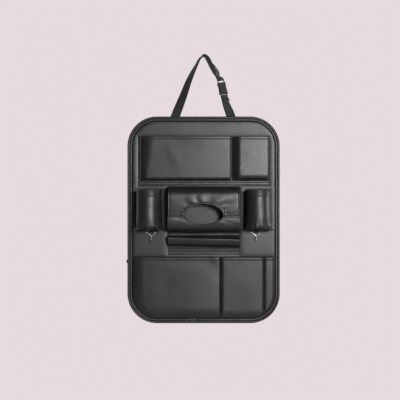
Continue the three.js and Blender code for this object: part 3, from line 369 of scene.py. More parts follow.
def webbing(name, tone):
    """Ribbed webbing, whose weave follows the UV along it."""
    made, tree, shader = material(name, Roughness=0.72, Sheen_Weight=0.25, Sheen_Roughness=0.4)
    along = coordinates(tree, "UV")
    waves = (190.0, 0.4, "Y"), (250.0, 0.2, "X")
    rib, cord = [node(tree, "ShaderNodeTexWave", {"Vector": along, "Scale": scale, "Distortion": wobble},
                      bands_direction=way).outputs["Fac"] for scale, wobble, way in waves]
    fuzz = spots(tree, along, 900.0, 4.0)
    weave = node(tree, "ShaderNodeMath", {0: rib, 1: cord}, operation="MULTIPLY").outputs[0]
    tint(tree, shader, weave, [tone * 0.8] * 3, [tone * 1.3] * 3)
    relief(tree, shader, (weave, 0.00024), (fuzz, 0.0001))
    return made


def plastic(name, tone):
    made, tree, shader = material(name, Specular_IOR_Level=0.5)
    place = coordinates(tree)
    fine, broad = spots(tree, place, 1500.0, 3.0), spots(tree, place, 120.0, 3.0)
    tint(tree, shader, broad, [tone * 0.8] * 3, [tone * 1.25] * 3)
    roughen(tree, shader, broad, 0.3, 0.46)
    relief(tree, shader, (fine, 0.00006))
    return made


def chrome(name):
    made, tree, shader = material(name, Metallic=1.0)
    wear = spots(tree, coordinates(tree), 700.0, 4.0)
    tint(tree, shader, wear, (0.55, 0.55, 0.57), (0.85, 0.85, 0.87))
    roughen(tree, shader, wear, 0.08, 0.24)
    return made


def fibre(name, tone, dots=0.0, scale=900.0, rough=0.85):
    """Felt-like cloth: fine fibres, with embossed dots where asked for."""
    made, tree, shader = material(name, Roughness=rough, Sheen_Weight=0.2)
    place = coordinates(tree)
    hair, broad = spots(tree, place, scale, 6.0, Roughness=0.7), spots(tree, place, 40.0, 4.0)
    tint(tree, shader, broad, [tone * 0.7] * 3, [tone * 1.35] * 3)
    layers = [(hair, 0.0003)]
    if dots:
        dot = node(tree, "ShaderNodeTexVoronoi", {"Vector": place, "Scale": dots, "Randomness": 0.0})
        layers.append((ramp(tree, dot.outputs["Distance"], 0.0, 1.0, 0.15, 0.45), 0.0004))
    relief(tree, shader, *layers)
    return made


PANEL_LEATHER = leather("leatherette_panel", 0.018, 0.36)
POCKET_LEATHER = leather("leatherette_pocket", 0.018, 0.35)
POUCH_LEATHER = leather("leatherette_pouch", 0.015, 0.34)
EDGE_LEATHER = leather("leatherette_binding", 0.016, 0.34, 1200.0)
THREAD = webbing("thread", 0.012)
WEBBING = webbing("strap_webbing", 0.018)
PLASTIC = plastic("buckle_plastic", 0.03)
CHROME = chrome("hook_chrome")
LINING = fibre("lining_cloth", 0.022, dots=420.0)
BOARD = fibre("board_fibre", 0.08, scale=500.0, rough=0.7)
FASTENER = fibre("hook_and_loop", 0.015, scale=1600.0)

stitches = Stitches()
FRONT, BACK = (0.0, -1.0, 0.0), (0.0, 1.0, 0.0)


# The panel.

def half_width(z, inset):
    """Half the panel's width at height z, drawn in by inset."""
    radius = CORNER - inset
    beyond = np.maximum(0, np.abs(z) - TOP + CORNER)
    return PANEL_WIDTH / 2 - CORNER + np.sqrt(np.maximum(0, radius * radius - beyond * beyond))


def depth_inside(x, z):
    """How far a place on the panel lies inside its outline."""
    qx, qz = np.abs(x) - PANEL_WIDTH / 2 + CORNER, np.abs(z) - TOP + CORNER
    return CORNER - np.hypot(np.maximum(qx, 0), np.maximum(qz, 0)) - np.minimum(np.maximum(qx, qz), 0)


def panel_heights(inset, step):
    """Heights of rows down the panel, close together where its corners turn."""
    radius, straight = CORNER - inset, TOP - CORNER
    turn = np.sin(np.linspace(math.pi / 2, 0.05, 46)) * radius + straight
    middle = np.linspace(straight, -straight, int(2 * straight / step))
    return np.concatenate([turn, middle, -turn[::-1]])


SEWN_BOXES = [(-UPPER_HALF, UPPER_HALF, UPPER_BOTTOM, UPPER_TOP),
              (-STRIP_HALF, STRIP_HALF, STRIP_BOTTOM, STRIP_TOP),
              (-CUP_X - CUP_RADIUS, -CUP_X + CUP_RADIUS, CUP_BOTTOM, CUP_RIM),
              (CUP_X - CUP_RADIUS, CUP_X + CUP_RADIUS, CUP_BOTTOM, CUP_RIM),
              (-POUCH_HALF, POUCH_HALF, HEM_BOTTOM, POUCH_TOP),
              (-LOWER_HALF, LOWER_HALF, LOWER_BOTTOM, LOWER_TOP)]


def from_seams(x, z):
    """How far a place lies outside the nearest of the boxes that are sewn to the face."""
    away = [np.hypot(np.maximum(np.maximum(a - x, x - b), 0), np.maximum(np.maximum(c - z, z - d), 0))
            for a, b, c, d in SEWN_BOXES]
    return np.min(away, axis=0)


def face_y(x, z):
    """The padded face: a soft shoulder, puffed between its seams, with slow waves and small puckers."""
    inside = depth_inside(x, z) - SEAM_INSET
    shoulder = SHOULDER * rise(inside / 2.6)
    puff = PUFF * rise(inside / 12) * rise(from_seams(x, z) / 19)
    waves = 0.3 * noise(x, z, 70, 3) + 0.06 * noise(x, z, 22, 4)
    pucker = 0.14 * noise(x, z, 9, 5) * bell((inside - 3) / 4)
    return SEAM_Y - shoulder - puff - (waves + pucker) * rise(inside / 10) * rise(from_seams(x, z) / 8)


def front_panel():
    z = panel_heights(SEAM_INSET, 2.6)[:, None]
    half = half_width(z[:, 0], SEAM_INSET)
    x = span(-half, half, 2.6)
    z = np.broadcast_to(z, x.shape)
    outer = np.stack([x, face_y(x, z), z], -1)
    rows, cols = x.shape
    edge, _ = border(rows, cols)
    flat = outer.reshape(-1, 3)
    back = flat[edge].copy()
    back[:, 1] = FACE_BACK_Y
    ring = len(flat) + np.arange(len(edge))
    faces = list(quads(rows, cols)) + list(np.stack([edge, np.roll(edge, -1), np.roll(ring, -1), ring], -1))
    faces.append(ring)
    piece = add_mesh("padded_front", np.vstack([flat, back]), faces, PANEL_LEATHER,
                     nodes=["front_sheet"])


def outline(count):
    """Points round the panel's outline, their inward directions and their distance run."""
    wide, tall, arc = PANEL_WIDTH - 2 * CORNER, PANEL_HEIGHT - 2 * CORNER, CORNER * math.pi / 2
    run = np.arange(count) / count * 2 * (wide + tall + 2 * arc)
    point, inward = np.zeros((count, 2)), np.zeros((count, 2))
    start = 0.0
    for k, (sx, sz, length) in enumerate(((1, 1, wide), (-1, 1, tall), (-1, -1, wide), (1, -1, tall))):
        centre, turn = np.array([sx * wide / 2, sz * tall / 2]), k * math.pi / 2
        on = (run >= start) & (run < start + arc)
        angle = turn + (run[on] - start) / CORNER
        out = np.stack([np.cos(angle), np.sin(angle)], -1)
        point[on], inward[on] = centre + CORNER * out, -out
        start += arc
        on = (run >= start) & (run < start + length)
        out = np.array([math.cos(turn + math.pi / 2), math.sin(turn + math.pi / 2)])
        along = np.array([-out[1], out[0]])
        point[on], inward[on] = centre + CORNER * out + along * (run[on] - start)[:, None], -out
        start += length
    return point, inward, run


def edge_binding():
    """The rolled tape, as a section of (distance inside the outline, Y) swept round it."""
    count, roll = 1840, 3.2
    point, inward, run = outline(count)
    turn = np.linspace(0, math.pi, 10)[:-1]
    section = [(12.0, -0.9), (11.7, 0.0), (6.9, 0.0), (2.4, 0.0), (1.1, -0.35), (0.3, -1.3),
               (0.0, -2.6), (0.0, -4.6),
               *((roll - roll * math.cos(a), -6.3 - roll * math.sin(a) ** 0.8) for a in turn),
               (6.35, -7.15), (6.9, -7.0), (7.5, -7.35), (8.2, -7.62), (9.6, -7.7), (10.9, -7.6),
               (11.7, -7.25), (12.0, -6.6), (12.0, -5.7), (1.5, -5.7), (1.5, -1.2), (12.0, -1.2)]
    section = np.array(section)
    inset = np.broadcast_to(section[:, 0], (count, len(section))).copy()
    y = np.broadcast_to(section[:, 1], inset.shape).copy()
    s = run[:, None]
    front = (y < -5.8).astype(float)
    # The thread pulls the tape in at each stitch, and the roll is a little uneven.
    phase = np.cos(s / STITCH_PITCH * 2 * math.pi)
    y += front * (0.16 * phase * bell((inset - 8.3) / 1.6) + 0.1 * phase * bell((inset - 5.2) / 1.4))
    y -= front * 0.3 * noise(s, s * 0, 37, 11) * bell((inset - roll) / 2.4)
    inset += front * (inset > 0.2) * 0.22 * noise(s, s * 0 + 9, 21, 12) * (inset < 11.9)
    # The tape's two ends overlap at the bottom edge.
    below, x = point[:, 1:2] < -TOP + 2, point[:, :1]
    lap = below * ease((x + 42) / 1.0) * ease((-17 - x) / 1.4)
    y -= front * lap * 0.75
    inset += front * lap * 1.6 * ease((inset - 6) / 5)
    gap = below * (bell((x + 42.3) / 0.7) + bell((x + 16.7) / 0.7))
    y += front * gap * 0.7 * (inset > 0.2)
    points = np.stack([x + inward[:, :1] * inset, y, point[:, 1:] + inward[:, 1:] * inset], -1)
    faces = quads(count, len(section), round_rows=True, round_cols=True)
    add_mesh("edge_binding_tape", points, faces, EDGE_LEATHER, nodes=["edge_binding"])
    seam = point + inward * TAPE_INSET
    for level, out in ((-7.12, FRONT), (0.02, BACK)):
        path = np.stack([seam[:, 0], np.full(count, level), seam[:, 1]], -1)
        stitches.row(np.vstack([path, path[:1]]), out)


def back_sheet():
    z = panel_heights(BACK_INSET, 6.0)[:, None]
    half = half_width(z[:, 0], BACK_INSET + 0.1)
    x = span(-half, half, 6.0)
    z = np.broadcast_to(z, x.shape)
    inside = depth_inside(x, z) - BACK_INSET
    dip = 0.25 * noise(x, z, 45, 21) * rise(inside / 25)
    outer = np.stack([x, -0.25 + dip - 0.3 * bell(inside / 2), z], -1)
    points, faces = thick_grid(outer, np.stack([x, np.full_like(x, -1.15), z], -1))
    piece = add_mesh("back_lining", points, faces, LINING, nodes=["back_sheet"])


# The patch pockets.

def upright(x):
    """A straight side of a pocket, as a function of height."""
    return lambda z: x + 0 * z


def pocket(node_name, left, right, bottom, top, depth, height, step=2.2):
    """A patch pocket, open along its top, that stands off the panel by height(x, z)."""
    name = f"{node_name}_leather"
    z = span(bottom, top, step)[0][:, None]
    lo, hi = left(z[:, 0]), right(z[:, 0])
    x = span(lo, hi, step)
    zz = np.broadcast_to(z, x.shape)

    def stand(x, z):
        side = np.minimum(x - left(z), right(z) - x)
        h = height(x, z)
        folded = np.sqrt(h * h + LEATHER ** 2)
        hem = 0.8 * ease((z - (top - HEM)) / 0.8) - 0.7 * bell((z - (top - HEM_STITCH)) / 0.8)
        dimple = 0.22 * np.cos(x / STITCH_PITCH * 2 * math.pi) * bell((z - (top - HEM_STITCH)) / 1.6)
        seam = 0.3 * bell((side - EDGE_STITCH) / 0.9) * clamp((z - bottom) / 4)
        seam = seam + 0.3 * bell((z - bottom - EDGE_STITCH) / 0.9) * clamp((side - 2) / 3)
        skin = 0.03 * noise(x, z, 7, len(name)) + 0.22 * noise(x, z, 34, len(name) + 1) * clamp(side / 20)
        return folded + hem + dimple - seam * 0.7 + skin * clamp(side / 3)

    outer = np.stack([x, SEWN - stand(x, zz), zz], -1)
    sx = (x - (lo + hi)[:, None] / 2) / ((hi - lo)[:, None] / 2)
    ix = x - sx * LEATHER
    iz = zz + (1 - clamp((zz - bottom) / (top - bottom))) * LEATHER
    inner = np.stack([ix, SEWN - height(ix, iz) * (1 - LEATHER / depth) - 0.05, iz], -1)
    piece = leather_sheet(name, outer, inner, POCKET_LEATHER, node_name)

    def sew(points):
        x, z = np.array(points, float).T
        dx = (stand(x + 0.4, z) - stand(x - 0.4, z)) / 0.8
        dz = (stand(x, z + 0.4) - stand(x, z - 0.4)) / 0.8
        path = np.stack([x, SEWN - stand(x, z) + STITCH_LIFT, z], -1)
        stitches.row(path, unit(np.stack([-dx, -np.ones_like(dx), -dz], -1)))

    def sew_across(level, trim):
        x = np.linspace(left(level) + trim, right(level) - trim, 160)
        sew(np.column_stack([x, np.full_like(x, level)]))

    sew_across(top - HEM_STITCH, 2.5)
    down = np.linspace(top - 8, bottom + EDGE_STITCH, 120)
    sew(np.column_stack([left(down) + EDGE_STITCH, down]))
    sew(np.column_stack([right(down) - EDGE_STITCH, down]))
    sew_across(bottom + EDGE_STITCH, EDGE_STITCH)
    return sew


def upper_left_pocket():
    left, right, depth = -UPPER_HALF, 74.0, 17.0

    def height(x, z):
        up = (z - UPPER_BOTTOM) / (UPPER_TOP - UPPER_BOTTOM)
        pleat = 0.3 * depth * rise((x - left) / 6)
        slope = 0.7 * depth * rise((x - left - 8) / (16 + 24 * up))
        across = (x - left) / (right - left)
        sag = 0.9 * bell((z - UPPER_TOP + 8) / 22) * np.cos(across * math.pi * 2.2 + 0.7)
        wave = 0.5 * noise(x, z * 0.5, 48, 31) * clamp(up * 1.5)
        fold = 0.8 * bell((x + 80 + (z - 170) * 0.35) / 16) * up * (1 - up) * 2
        crown = 1 - 0.13 * np.maximum(0, 2 * (x - left) / (right - left) - 1) ** 2
        sheet = (pleat + slope) * (0.86 + 0.14 * up) * crown
        sheet = sheet + (sag + wave + fold) * rise((x - left - 20) / 30)
        return np.maximum(sheet, 0) * rise((right - x) / 2.4) * rise((z - UPPER_BOTTOM) / 10)

    pocket("upper_left_pocket", upright(left), upright(right), UPPER_BOTTOM, UPPER_TOP, depth, height)


# The upper right pocket's creases: where each is, its slope, height and width.
CREASES = [(100, 122, 0.9, 0.5, 7), (112, 118, 0.55, 0.4, 6), (94, 136, 1.6, 0.4, 7)]


def upper_right_pocket():
    left, right, depth = 75.0, UPPER_HALF, 15.0

    def height(x, z):
        up = (z - UPPER_BOTTOM) / (UPPER_TOP - UPPER_BOTTOM)
        gusset = 0.5 * clamp((x - left) / 18) + 0.5 * ease((x - left) / 27)
        crown = 1 - 0.15 * clamp((x - left - 22) / 80) ** 2
        crease = sum(size * bell((z - cz - lean * (x - cx)) / wide) * bell(np.hypot(x - cx, z - cz) / 22)
                     for cx, cz, lean, size, wide in CREASES)
        wave = 0.35 * noise(x * 0.8, z * 0.5, 36, 32) * clamp(up * 1.6)
        sheet = np.maximum(depth * gusset * crown + (wave + crease) * gusset, 0)
        return sheet * rise((right - x) / 4) * rise((z - UPPER_BOTTOM) / 18)

    pocket("upper_right_pocket", upright(left), upright(right), UPPER_BOTTOM, UPPER_TOP, depth, height)


def lower_left_pocket():
    right, depth = 45.2, 14.0
    left = lambda z: -half_width(z, LOWER_EDGE)

    def height(x, z):
        lo = left(z)
        across = rise((x - lo) / 34) * rise((right - x) / 2.6)
        crown = 0.8 + 0.2 * (x - lo) / (right - lo) - 0.24 * clamp((x - right + 100) / 100) ** 2
        wave = 0.45 * noise(x * 0.7, z, 60, 33) + 0.5 * bell((z - LOWER_TOP + 10) / 18) * np.sin(x / 40)
        corner = 1.6 * bell((x - right + 14) / 12) * bell((z - LOWER_TOP) / 14)
        return np.maximum(depth * crown + wave + corner, 0) * across * rise((z - LOWER_BOTTOM) / 30)

    pocket("lower_left_pocket", left, upright(right), LOWER_BOTTOM, LOWER_TOP, depth, height, step=2.6)


def lower_right_pocket():
    left, depth, seam = 46.2, 9.0, 165.8
    right = lambda z: half_width(z, LOWER_EDGE)

    def height(x, z):
        near = rise(np.abs(x - seam) / 7) * 0.75 + 0.25
        across = rise((x - left) / 10) * rise((right(z) - x) / 9)
        wave = 0.45 * noise(x, z * 0.6, 44, 34)
        return np.maximum(depth * near + wave, 0) * across * rise((z - LOWER_BOTTOM) / 24)

    sew = pocket("lower_right_pocket", upright(left), right, LOWER_BOTTOM, LOWER_TOP, depth, height,
                 step=2.4)
    sew([(seam, z) for z in np.linspace(LOWER_TOP - 8, -228, 120)])


def seam_strip():
    half = STRIP_HALF
    x = np.concatenate([np.linspace(-half, -half + 4, 6), np.linspace(-half + 6, half - 6, 180),
                        np.linspace(half - 4, half, 6)])
    angle = np.linspace(0, math.pi, 15)
    middle, tall = (STRIP_TOP + STRIP_BOTTOM) / 2, (STRIP_TOP - STRIP_BOTTOM) / 2
    rings = []
    for place in x:
        end = rise((half - abs(place)) / 3) * 0.75 + 0.25
        swell = 1 + 0.1 * float(noise(place, 0, 14, 41))
        ring = [[place, SEWN - 2.2 * end * swell * math.sin(a) ** 0.45, middle - tall * math.cos(a)]
                for a in angle]
        rings.append(ring + [[place, SEWN + 0.05, middle + tall * up] for up in (0.9, -0.9)])
    faces = capped(len(x), len(rings[0]))
    add_mesh("seam_strip_leather", rings, faces, EDGE_LEATHER, nodes=["middle_seam_strip"])
    for z in (STRIP_TOP - 1.7, STRIP_BOTTOM + 1.7):
        stitches.row([(x, SEWN - 1.95, z) for x in np.linspace(-half + 3, half - 3, 240)], FRONT)


# The cup holders.

def cup_plan(t, radius, cx):
    """The sleeve's plan: t runs from 0 to 1 from the panel round the front and back to it."""
    leg = SEWN - CUP_MIDDLE_Y
    s = t * CUP_AROUND
    angle = math.pi + np.clip((s - leg) / CUP_RADIUS, 0, math.pi)
    round_y = CUP_MIDDLE_Y + radius * np.sin(angle)
    y = np.where(s < leg, SEWN - s, np.where(s > CUP_AROUND - leg, SEWN - (CUP_AROUND - s), round_y))
    return cx + radius * np.cos(angle), y


def cup_holder(name, side, cx):
    """The sleeve, which flares into two ears and a gathered skirt below its floor."""
    skirt_rows = np.linspace(CUP_BOTTOM, CUP_FLOOR + 2, 14)
    z = np.concatenate([skirt_rows, span(CUP_FLOOR + 3, CUP_RIM, 2.4, NEAR[:9] * 0.9)[0]])[:, None]
    t = np.concatenate([[0, 0.004], np.linspace(0.01, 0.99, 150), [0.996, 1]])[None, :]
    angle = t * 2 * math.pi
    low = clamp((CUP_FLOOR + 1 - z) / (CUP_FLOOR + 1 - CUP_BOTTOM))
    gather = np.sin(angle * 9 + 1.3 * np.sin(angle * 2 + side)) + 0.6 * np.sin(angle * 15 + 2)
    above = bell((z - CUP_FLOOR - 2) / 9)
    corner = bell((t - 0.27) / 0.045) + bell((t - 0.73) / 0.045)
    grow = 2.6 * low ** 1.5 + (1.2 * low + 0.7 * above) * gather * 0.8
    grow = grow + 8.2 * low ** 1.1 * corner + 2.2 * above * corner - 0.9 * bell((t - 0.5) / 0.1) * (1 - low)
    grow = grow - 1.1 * bell((z - CUP_FLOOR) / 3.2) + 0.8 * bell((z - 6) / 16) - 0.5 * bell((z - 66) / 10)
    grow = grow + 0.35 * noise(t * 170, z, 26, 51 + side) * (1 - low) + 0.5 * clamp((z - 72) / 9)
    groove = 0.7 * bell((z - CUP_SEAM) / 0.8) - 0.6 * ease((z - CUP_SEAM + 1.2) / 0.8)
    rim_fold = 0.2 * ease((z - CUP_RIM + 4.2) / 0.8)
    x, y = cup_plan(t, CUP_RADIUS + grow - groove + rim_fold, cx)
    lift = low * (4.2 - 4.4 * np.minimum(corner, 1) + 0.8 * np.sin(angle * 6 + side))
    outer = np.stack([x, y, z + lift * (z < CUP_FLOOR)], -1)
    outward = normals(outer)
    centre = np.stack([np.full_like(x, cx), np.full_like(x, CUP_MIDDLE_Y), outer[..., 2]], -1)
    outward = np.where(np.sum(outward * (centre - outer), -1, keepdims=True) < 0, outward, -outward)
    piece = leather_sheet(f"{name}_cup_leather", outer, outer - outward * LEATHER, POCKET_LEATHER,
                          f"{name}_cup_holder")
    for level in (CUP_SEAM, CUP_FLOOR):
        stitches.seam(outer, outward, np.s_[int(np.argmin(np.abs(z[:, 0] - level))), 2:-2])
    # The sewn-in floor sags a little under its rim.
    plan = np.stack(cup_plan(np.linspace(0.0, 1.0, 72), CUP_RADIUS - 2.3, cx), -1)
    middle = np.array([cx, CUP_MIDDLE_Y + 6])
    shares = [1.0, 0.98, 0.9, 0.75, 0.55, 0.3, 0.1]
    upper = [(CUP_FLOOR + LEATHER, share) for share in shares[::-1]]
    lower = [(CUP_FLOOR, share) for share in shares]
    rings = []
    for level, share in upper + lower:
        low = np.full(len(plan), level - 1.2 * (1 - share * share))
        rings.append(np.column_stack([middle + (plan - middle) * share, low]))
    faces = capped(len(rings), len(plan))
    add_mesh(f"{name}_cup_floor", rings, faces, POCKET_LEATHER, nodes=[f"{name}_cup_base"])


# The tissue pouch.

def band(profile, x, rows, start, even, move):
    """A sheet run along X from a profile of (y, z).

    Each column starts at its own share of the profile, and the rows are even above one share.
    """
    curve, grid = resample(profile, 400), np.linspace(0, 1, 400)
    low = start[None, :] + (even - start[None, :]) * np.linspace(0, 1, rows // 2)[:, None]
    high = np.linspace(even, 1, rows - rows // 2 + 1)[1:, None]
    place = np.vstack([low, np.broadcast_to(high, (len(high), len(x)))])
    y, z = np.interp(place, grid, curve[:, 0]), np.interp(place, grid, curve[:, 1])
    outer = np.stack([np.broadcast_to(x, y.shape), y, z], -1)
    outer = outer + front_normals(outer) * move(outer[..., 0], place)[..., None]
    return outer, front_normals(outer), place


def tissue_flap():
    deep, tall = SEWN - FLAP_FRONT, POUCH_TOP - FLAP_BOTTOM
    belly = [(0, 0), (-0.025, 0.25), (-0.04, 0.5), (-0.03, 0.7), (0.02, 0.82), (0.12, 0.91),
             (0.3, 0.965), (0.6, 0.988), (0.85, 0.998), (1, 1)]
    profile = [(FLAP_FRONT + deep * back, FLAP_BOTTOM + tall * up) for back, up in belly]
    half = POUCH_HALF - 1.5
    arch = ARCH_HALF * np.sin(np.linspace(-math.pi / 2, math.pi / 2, 73))
    side = span(ARCH_HALF + 0.35, half, 2.0, NEAR[:8])[0]
    x = np.concatenate([-side[::-1], arch, side])
    inside = np.clip(1 - (x / ARCH_HALF) ** 2, 0, 1)
    foot = FLAP_BOTTOM + ARCH_FOOT + ARCH_HEIGHT * np.sqrt(inside)
    leg = FLAP_BOTTOM + ARCH_FOOT * (1 - rise((np.abs(x) - ARCH_HALF) / 3))
    curve = resample(profile, 400)
    length = float(distances(curve)[-1])
    low = np.interp(np.where(np.abs(x) <= ARCH_HALF, foot, leg), curve[:200, 1],
                    np.linspace(0, 1, 400)[:200])

    def move(x, place):
        run, out = place * length, np.abs(x)
        beyond = (np.hypot(x / ARCH_HALF, (run - ARCH_FOOT) / ARCH_HEIGHT) - 1) * ARCH_HEIGHT
        theta = np.arctan2(run - ARCH_FOOT, x)
        folds = np.sin(theta * 9 + 0.8 * np.sin(theta * 3)) * bell((beyond - 14) / 13) * clamp(beyond / 6)
        folds = folds * clamp(run / 30) * (0.7 + 0.5 * noise(theta * 40, run, 30, 61))
        hem = 0.7 * ease((5.4 - beyond) / 0.9) * (run > 3)
        hem = hem + 0.8 * ease((26.8 - run) / 1.0) * (out > ARCH_HALF + 3)
        lap = 0.8 * bell((run - LEG_SEAMS[0]) / 1.0) * (out > ARCH_HALF)
        lap = lap + 0.6 * bell((beyond - EDGE_STITCH) / 0.9) * (run > 8)
        lap = lap + 0.7 * bell((run - LEG_SEAMS[1]) / 0.9) * (out > ARCH_HALF + 2)
        lap = lap + 0.6 * bell((half - out - 3.4) / 1.0)
        waves = 0.6 * noise(x, run, 46, 62) * clamp(run / 20) * clamp((length - run) / 30)
        waves = waves + 0.25 * noise(x, run, 13, 63)
        return 0.85 * folds + hem - lap + waves * clamp(run / 16)

    even = (ARCH_FOOT + ARCH_HEIGHT + 7) / length
    outer, direction, place = band(profile, x, 104, low, even, move)
    piece = leather_sheet("tissue_flap_leather", outer, outer - direction * LEATHER, POUCH_LEATHER,
                          "tissue_flap")

    def sew(columns, runs):
        """Stitches at these distances up the flap, one at each column."""
        path, outward = [], []
        for column, run in zip(columns, runs):
            at = [run], place[:, column] * length
            outward.append(along_at(*at, direction[:, column])[0])
            path.append(along_at(*at, outer[:, column])[0] + outward[-1] * STITCH_LIFT)
        stitches.row(path, outward)

    columns = range(4, len(x) - 4)
    in_arch = [c for c in columns if abs(x[c]) < ARCH_HALF - 0.5]
    sew(in_arch, [place[0, c] * length + EDGE_STITCH for c in in_arch])
    for sign in (-1, 1):
        wing = [c for c in columns if sign * x[c] > ARCH_HALF + 2.5]
        for run in LEG_SEAMS:
            sew(wing, [run] * len(wing))
    for column in (2, len(x) - 3):
        runs = np.linspace(4, length - 16, 80)
        sew([column] * len(runs), runs)


def tissue_sleeve():
    """The pouch's lower sheet: its hem on the panel, the slack fold over it, a valley and the front."""
    flat, front, slack, valley = SEWN - LEATHER, POUCH_FRONT, -33.3, -12.8
    profile = [(flat, HEM_BOTTOM), (flat - 1.2, -84), (flat - 2.6, -77), (flat - 4, -73.6),
               (flat - 8, -71.8), (slack + 13, -70.4), (slack + 6.8, -67), (slack + 2.4, -60.2),
               (slack + 0.5, -52), (slack + 4.5, -48.4), (valley - 8, -46.4), (valley - 2.4, -44.6),
               (valley, -39.8), (valley - 2.2, -34.4), (valley - 7, -32), (front + 17.2, -29),
               (front + 5.6, -22.4), (front + 1.2, -11), (front, 1), (front, 17.75), (front, SLEEVE_TOP)]
    half, shoulder = POUCH_HALF, FLAP_BOTTOM + ARCH_FOOT
    arch = ARCH_HALF * np.sin(np.linspace(-math.pi / 2, math.pi / 2, 61))
    side = span(ARCH_HALF + 0.35, half, 2.4, NEAR[:8])[0]
    x = np.concatenate([-side[::-1], arch, side])
    notch = shoulder - NOTCH_DEPTH * np.sqrt(np.clip(1 - (x / ARCH_HALF) ** 2, 0, 1))
    wing = shoulder + (SLEEVE_TOP - shoulder) * rise((np.abs(x) - ARCH_HALF) / 2.5)
    curve, shares = resample(profile, 600), np.linspace(0, 1, 600)
    tail = curve[:, 1] > -17
    end = np.interp(np.where(np.abs(x) <= ARCH_HALF, notch, wing), curve[tail, 1], shares[tail])[None, :]
    even = shares[tail][0]
    low = np.broadcast_to(np.linspace(0, even, 140)[:, None], (140, len(x)))
    place = np.vstack([low, even + (end - even) * np.linspace(0, 1, 41)[1:, None]])
    y, z = np.interp(place, shares, curve[:, 0]), np.interp(place, shares, curve[:, 1])
    # The slack fold hangs lower on the right.
    tilt = 5.0 * ease((z + 78) / 5) * ease((-42 - z) / 5)
    xx = np.broadcast_to(x, y.shape)
    z = z - tilt * xx / (2 * half)
    outer = np.stack([xx, y, z], -1)
    loose, run = ease((place - 0.13) / 0.05), place * 300.0
    waves = (1.0 * noise(xx, run, 52, 71) + 0.35 * noise(xx, run * 1.4, 17, 72)) * loose
    sag = 0.8 * np.sin(xx / 31 + 1) * bell((z + 60) / 12) * loose
    hem = 0.6 * ease((place - end + 0.018) / 0.003) - 0.5 * bell((place - end + 0.012) / 0.003)
    foot = sum(bell((z - level) / 0.9) for level in HEM_SEAMS) * (place < 0.12)
    foot = 0.6 * ease((-90.5 - z) / 0.8) * (place < 0.1) - 0.6 * foot
    outer = outer + front_normals(outer) * (waves + sag + hem + foot)[..., None]
    direction = front_normals(outer)
    piece = leather_sheet("tissue_sleeve_leather", outer, outer - direction * LEATHER, POUCH_LEATHER,
                          "tissue_sleeve")
    for level in HEM_SEAMS:
        row = int(np.argmin(np.abs(outer[:30, len(x) // 2, 2] - level)))
        stitches.seam(outer, direction, np.s_[row, 3:-3])
    stitches.seam(outer, direction, np.s_[-5, np.abs(x) < ARCH_HALF - 0.5])


# The strap and its buckle.

WEB_WIDTH, WEB_THICK = 24.5, 1.4
STRAP_RISE, STRAP_LEFT, STRAP_RIGHT, APEX_Y = 168.0, -78.5, 75.5, -13.65
STRAP_Y = -2.2
BUCKLE_CENTRE = np.array([54.5, -12.25, TOP + 65.5])
LEAN, TURN = math.radians(13), math.radians(50)
BAR_RADIUS = 2.6 * math.sqrt(0.5) + 0.3 + WEB_THICK / 2
SOCKET_BAR, PLUG_BAR = 36.3, -9.5
BUCKLE_WIDTH, SLOT_WIDTH, SHELL_HEIGHT, WALL = 29.0, 25.2, 28.0, 1.7
UPPER_TAIL, LOWER_TAIL, STRAP_STEPS = 46.0, 17.0, 16
# The upper strap over its peak, as X, how far behind the peak, and the share of its rise.
STRAP_PEAK = [(0.8, 0, 1 - 2.2 / STRAP_RISE), (10, 0, 0.943), (22, 0.5, 0.815), (29, 1.85, 0.72),
              (33, 2.6, 0.67)]
# Twists in degrees: the strap's at each point of its route, the free end's by distance from the bar.
STRAP_TWIST = [0, 30, 48, 66, 79, 99, 115, 116, 106, 94]
END_TWIST = [0, 6, 13, 22, 36, 46], [50, 50, 58, 67, 78, 86]


def on_buckle(points):
    """From the upright buckle's own frame to where it hangs on the strap."""
    x, y, z = np.moveaxis(np.asarray(points, float), -1, 0)
    x, y = x * math.cos(TURN) - y * math.sin(TURN), x * math.sin(TURN) + y * math.cos(TURN)
    x, z = x * math.cos(LEAN) - z * math.sin(LEAN), x * math.sin(LEAN) + z * math.cos(LEAN)
    return np.stack([x, y, z], -1) + BUCKLE_CENTRE


BUCKLE_ACROSS = on_buckle([1.0, 0, 0]) - BUCKLE_CENTRE


def untwisted(acrosses):
    """The same directions across a strap, with none flipped from the one before it."""
    acrosses = np.array(acrosses)
    for j in range(1, len(acrosses)):
        if np.dot(acrosses[j], acrosses[j - 1]) < 0:
            acrosses[j] = -acrosses[j]
    return acrosses


def ribbon(node_name, centres, acrosses, curl=None):
    """Webbing along its stations, with rounded edges, a UV along it and a curl across it."""
    centres, acrosses = np.asarray(centres), untwisted(acrosses)
    run = distances(centres)
    count = max(12, int(run[-1] / 1.3))
    want = np.linspace(0, run[-1], count)
    centres, acrosses = along_at(want, run, centres), along_at(want, run, acrosses)
    along = unit(np.gradient(centres, axis=0))
    face = unit(np.cross(along, acrosses))
    side = unit(np.cross(face, along))
    w, t = WEB_WIDTH / 2, WEB_THICK / 2
    half = [(-w + 0.25, -0.7 * t), *((s, -t) for s in np.linspace(-w + 0.9, w - 0.9, 9)),
            (w - 0.25, -0.7 * t)]
    section = [(-w, 0), *half, (w, 0), *((s, -f) for s, f in half[::-1])]
    bend = np.zeros(count) if curl is None else curl(centres)
    rings = np.stack([centres + side * s + face * (f + bend * ((s / w) ** 2 - 0.5))[:, None]
                      for s, f in section], 1)
    size = len(section)
    uvs = np.stack(np.broadcast_arrays([s for s, _ in section], want[:, None]), -1)
    piece = add_mesh(f"{node_name}_webbing", rings, capped(count, size), WEBBING,
                     nodes=[node_name], uvs=uvs)


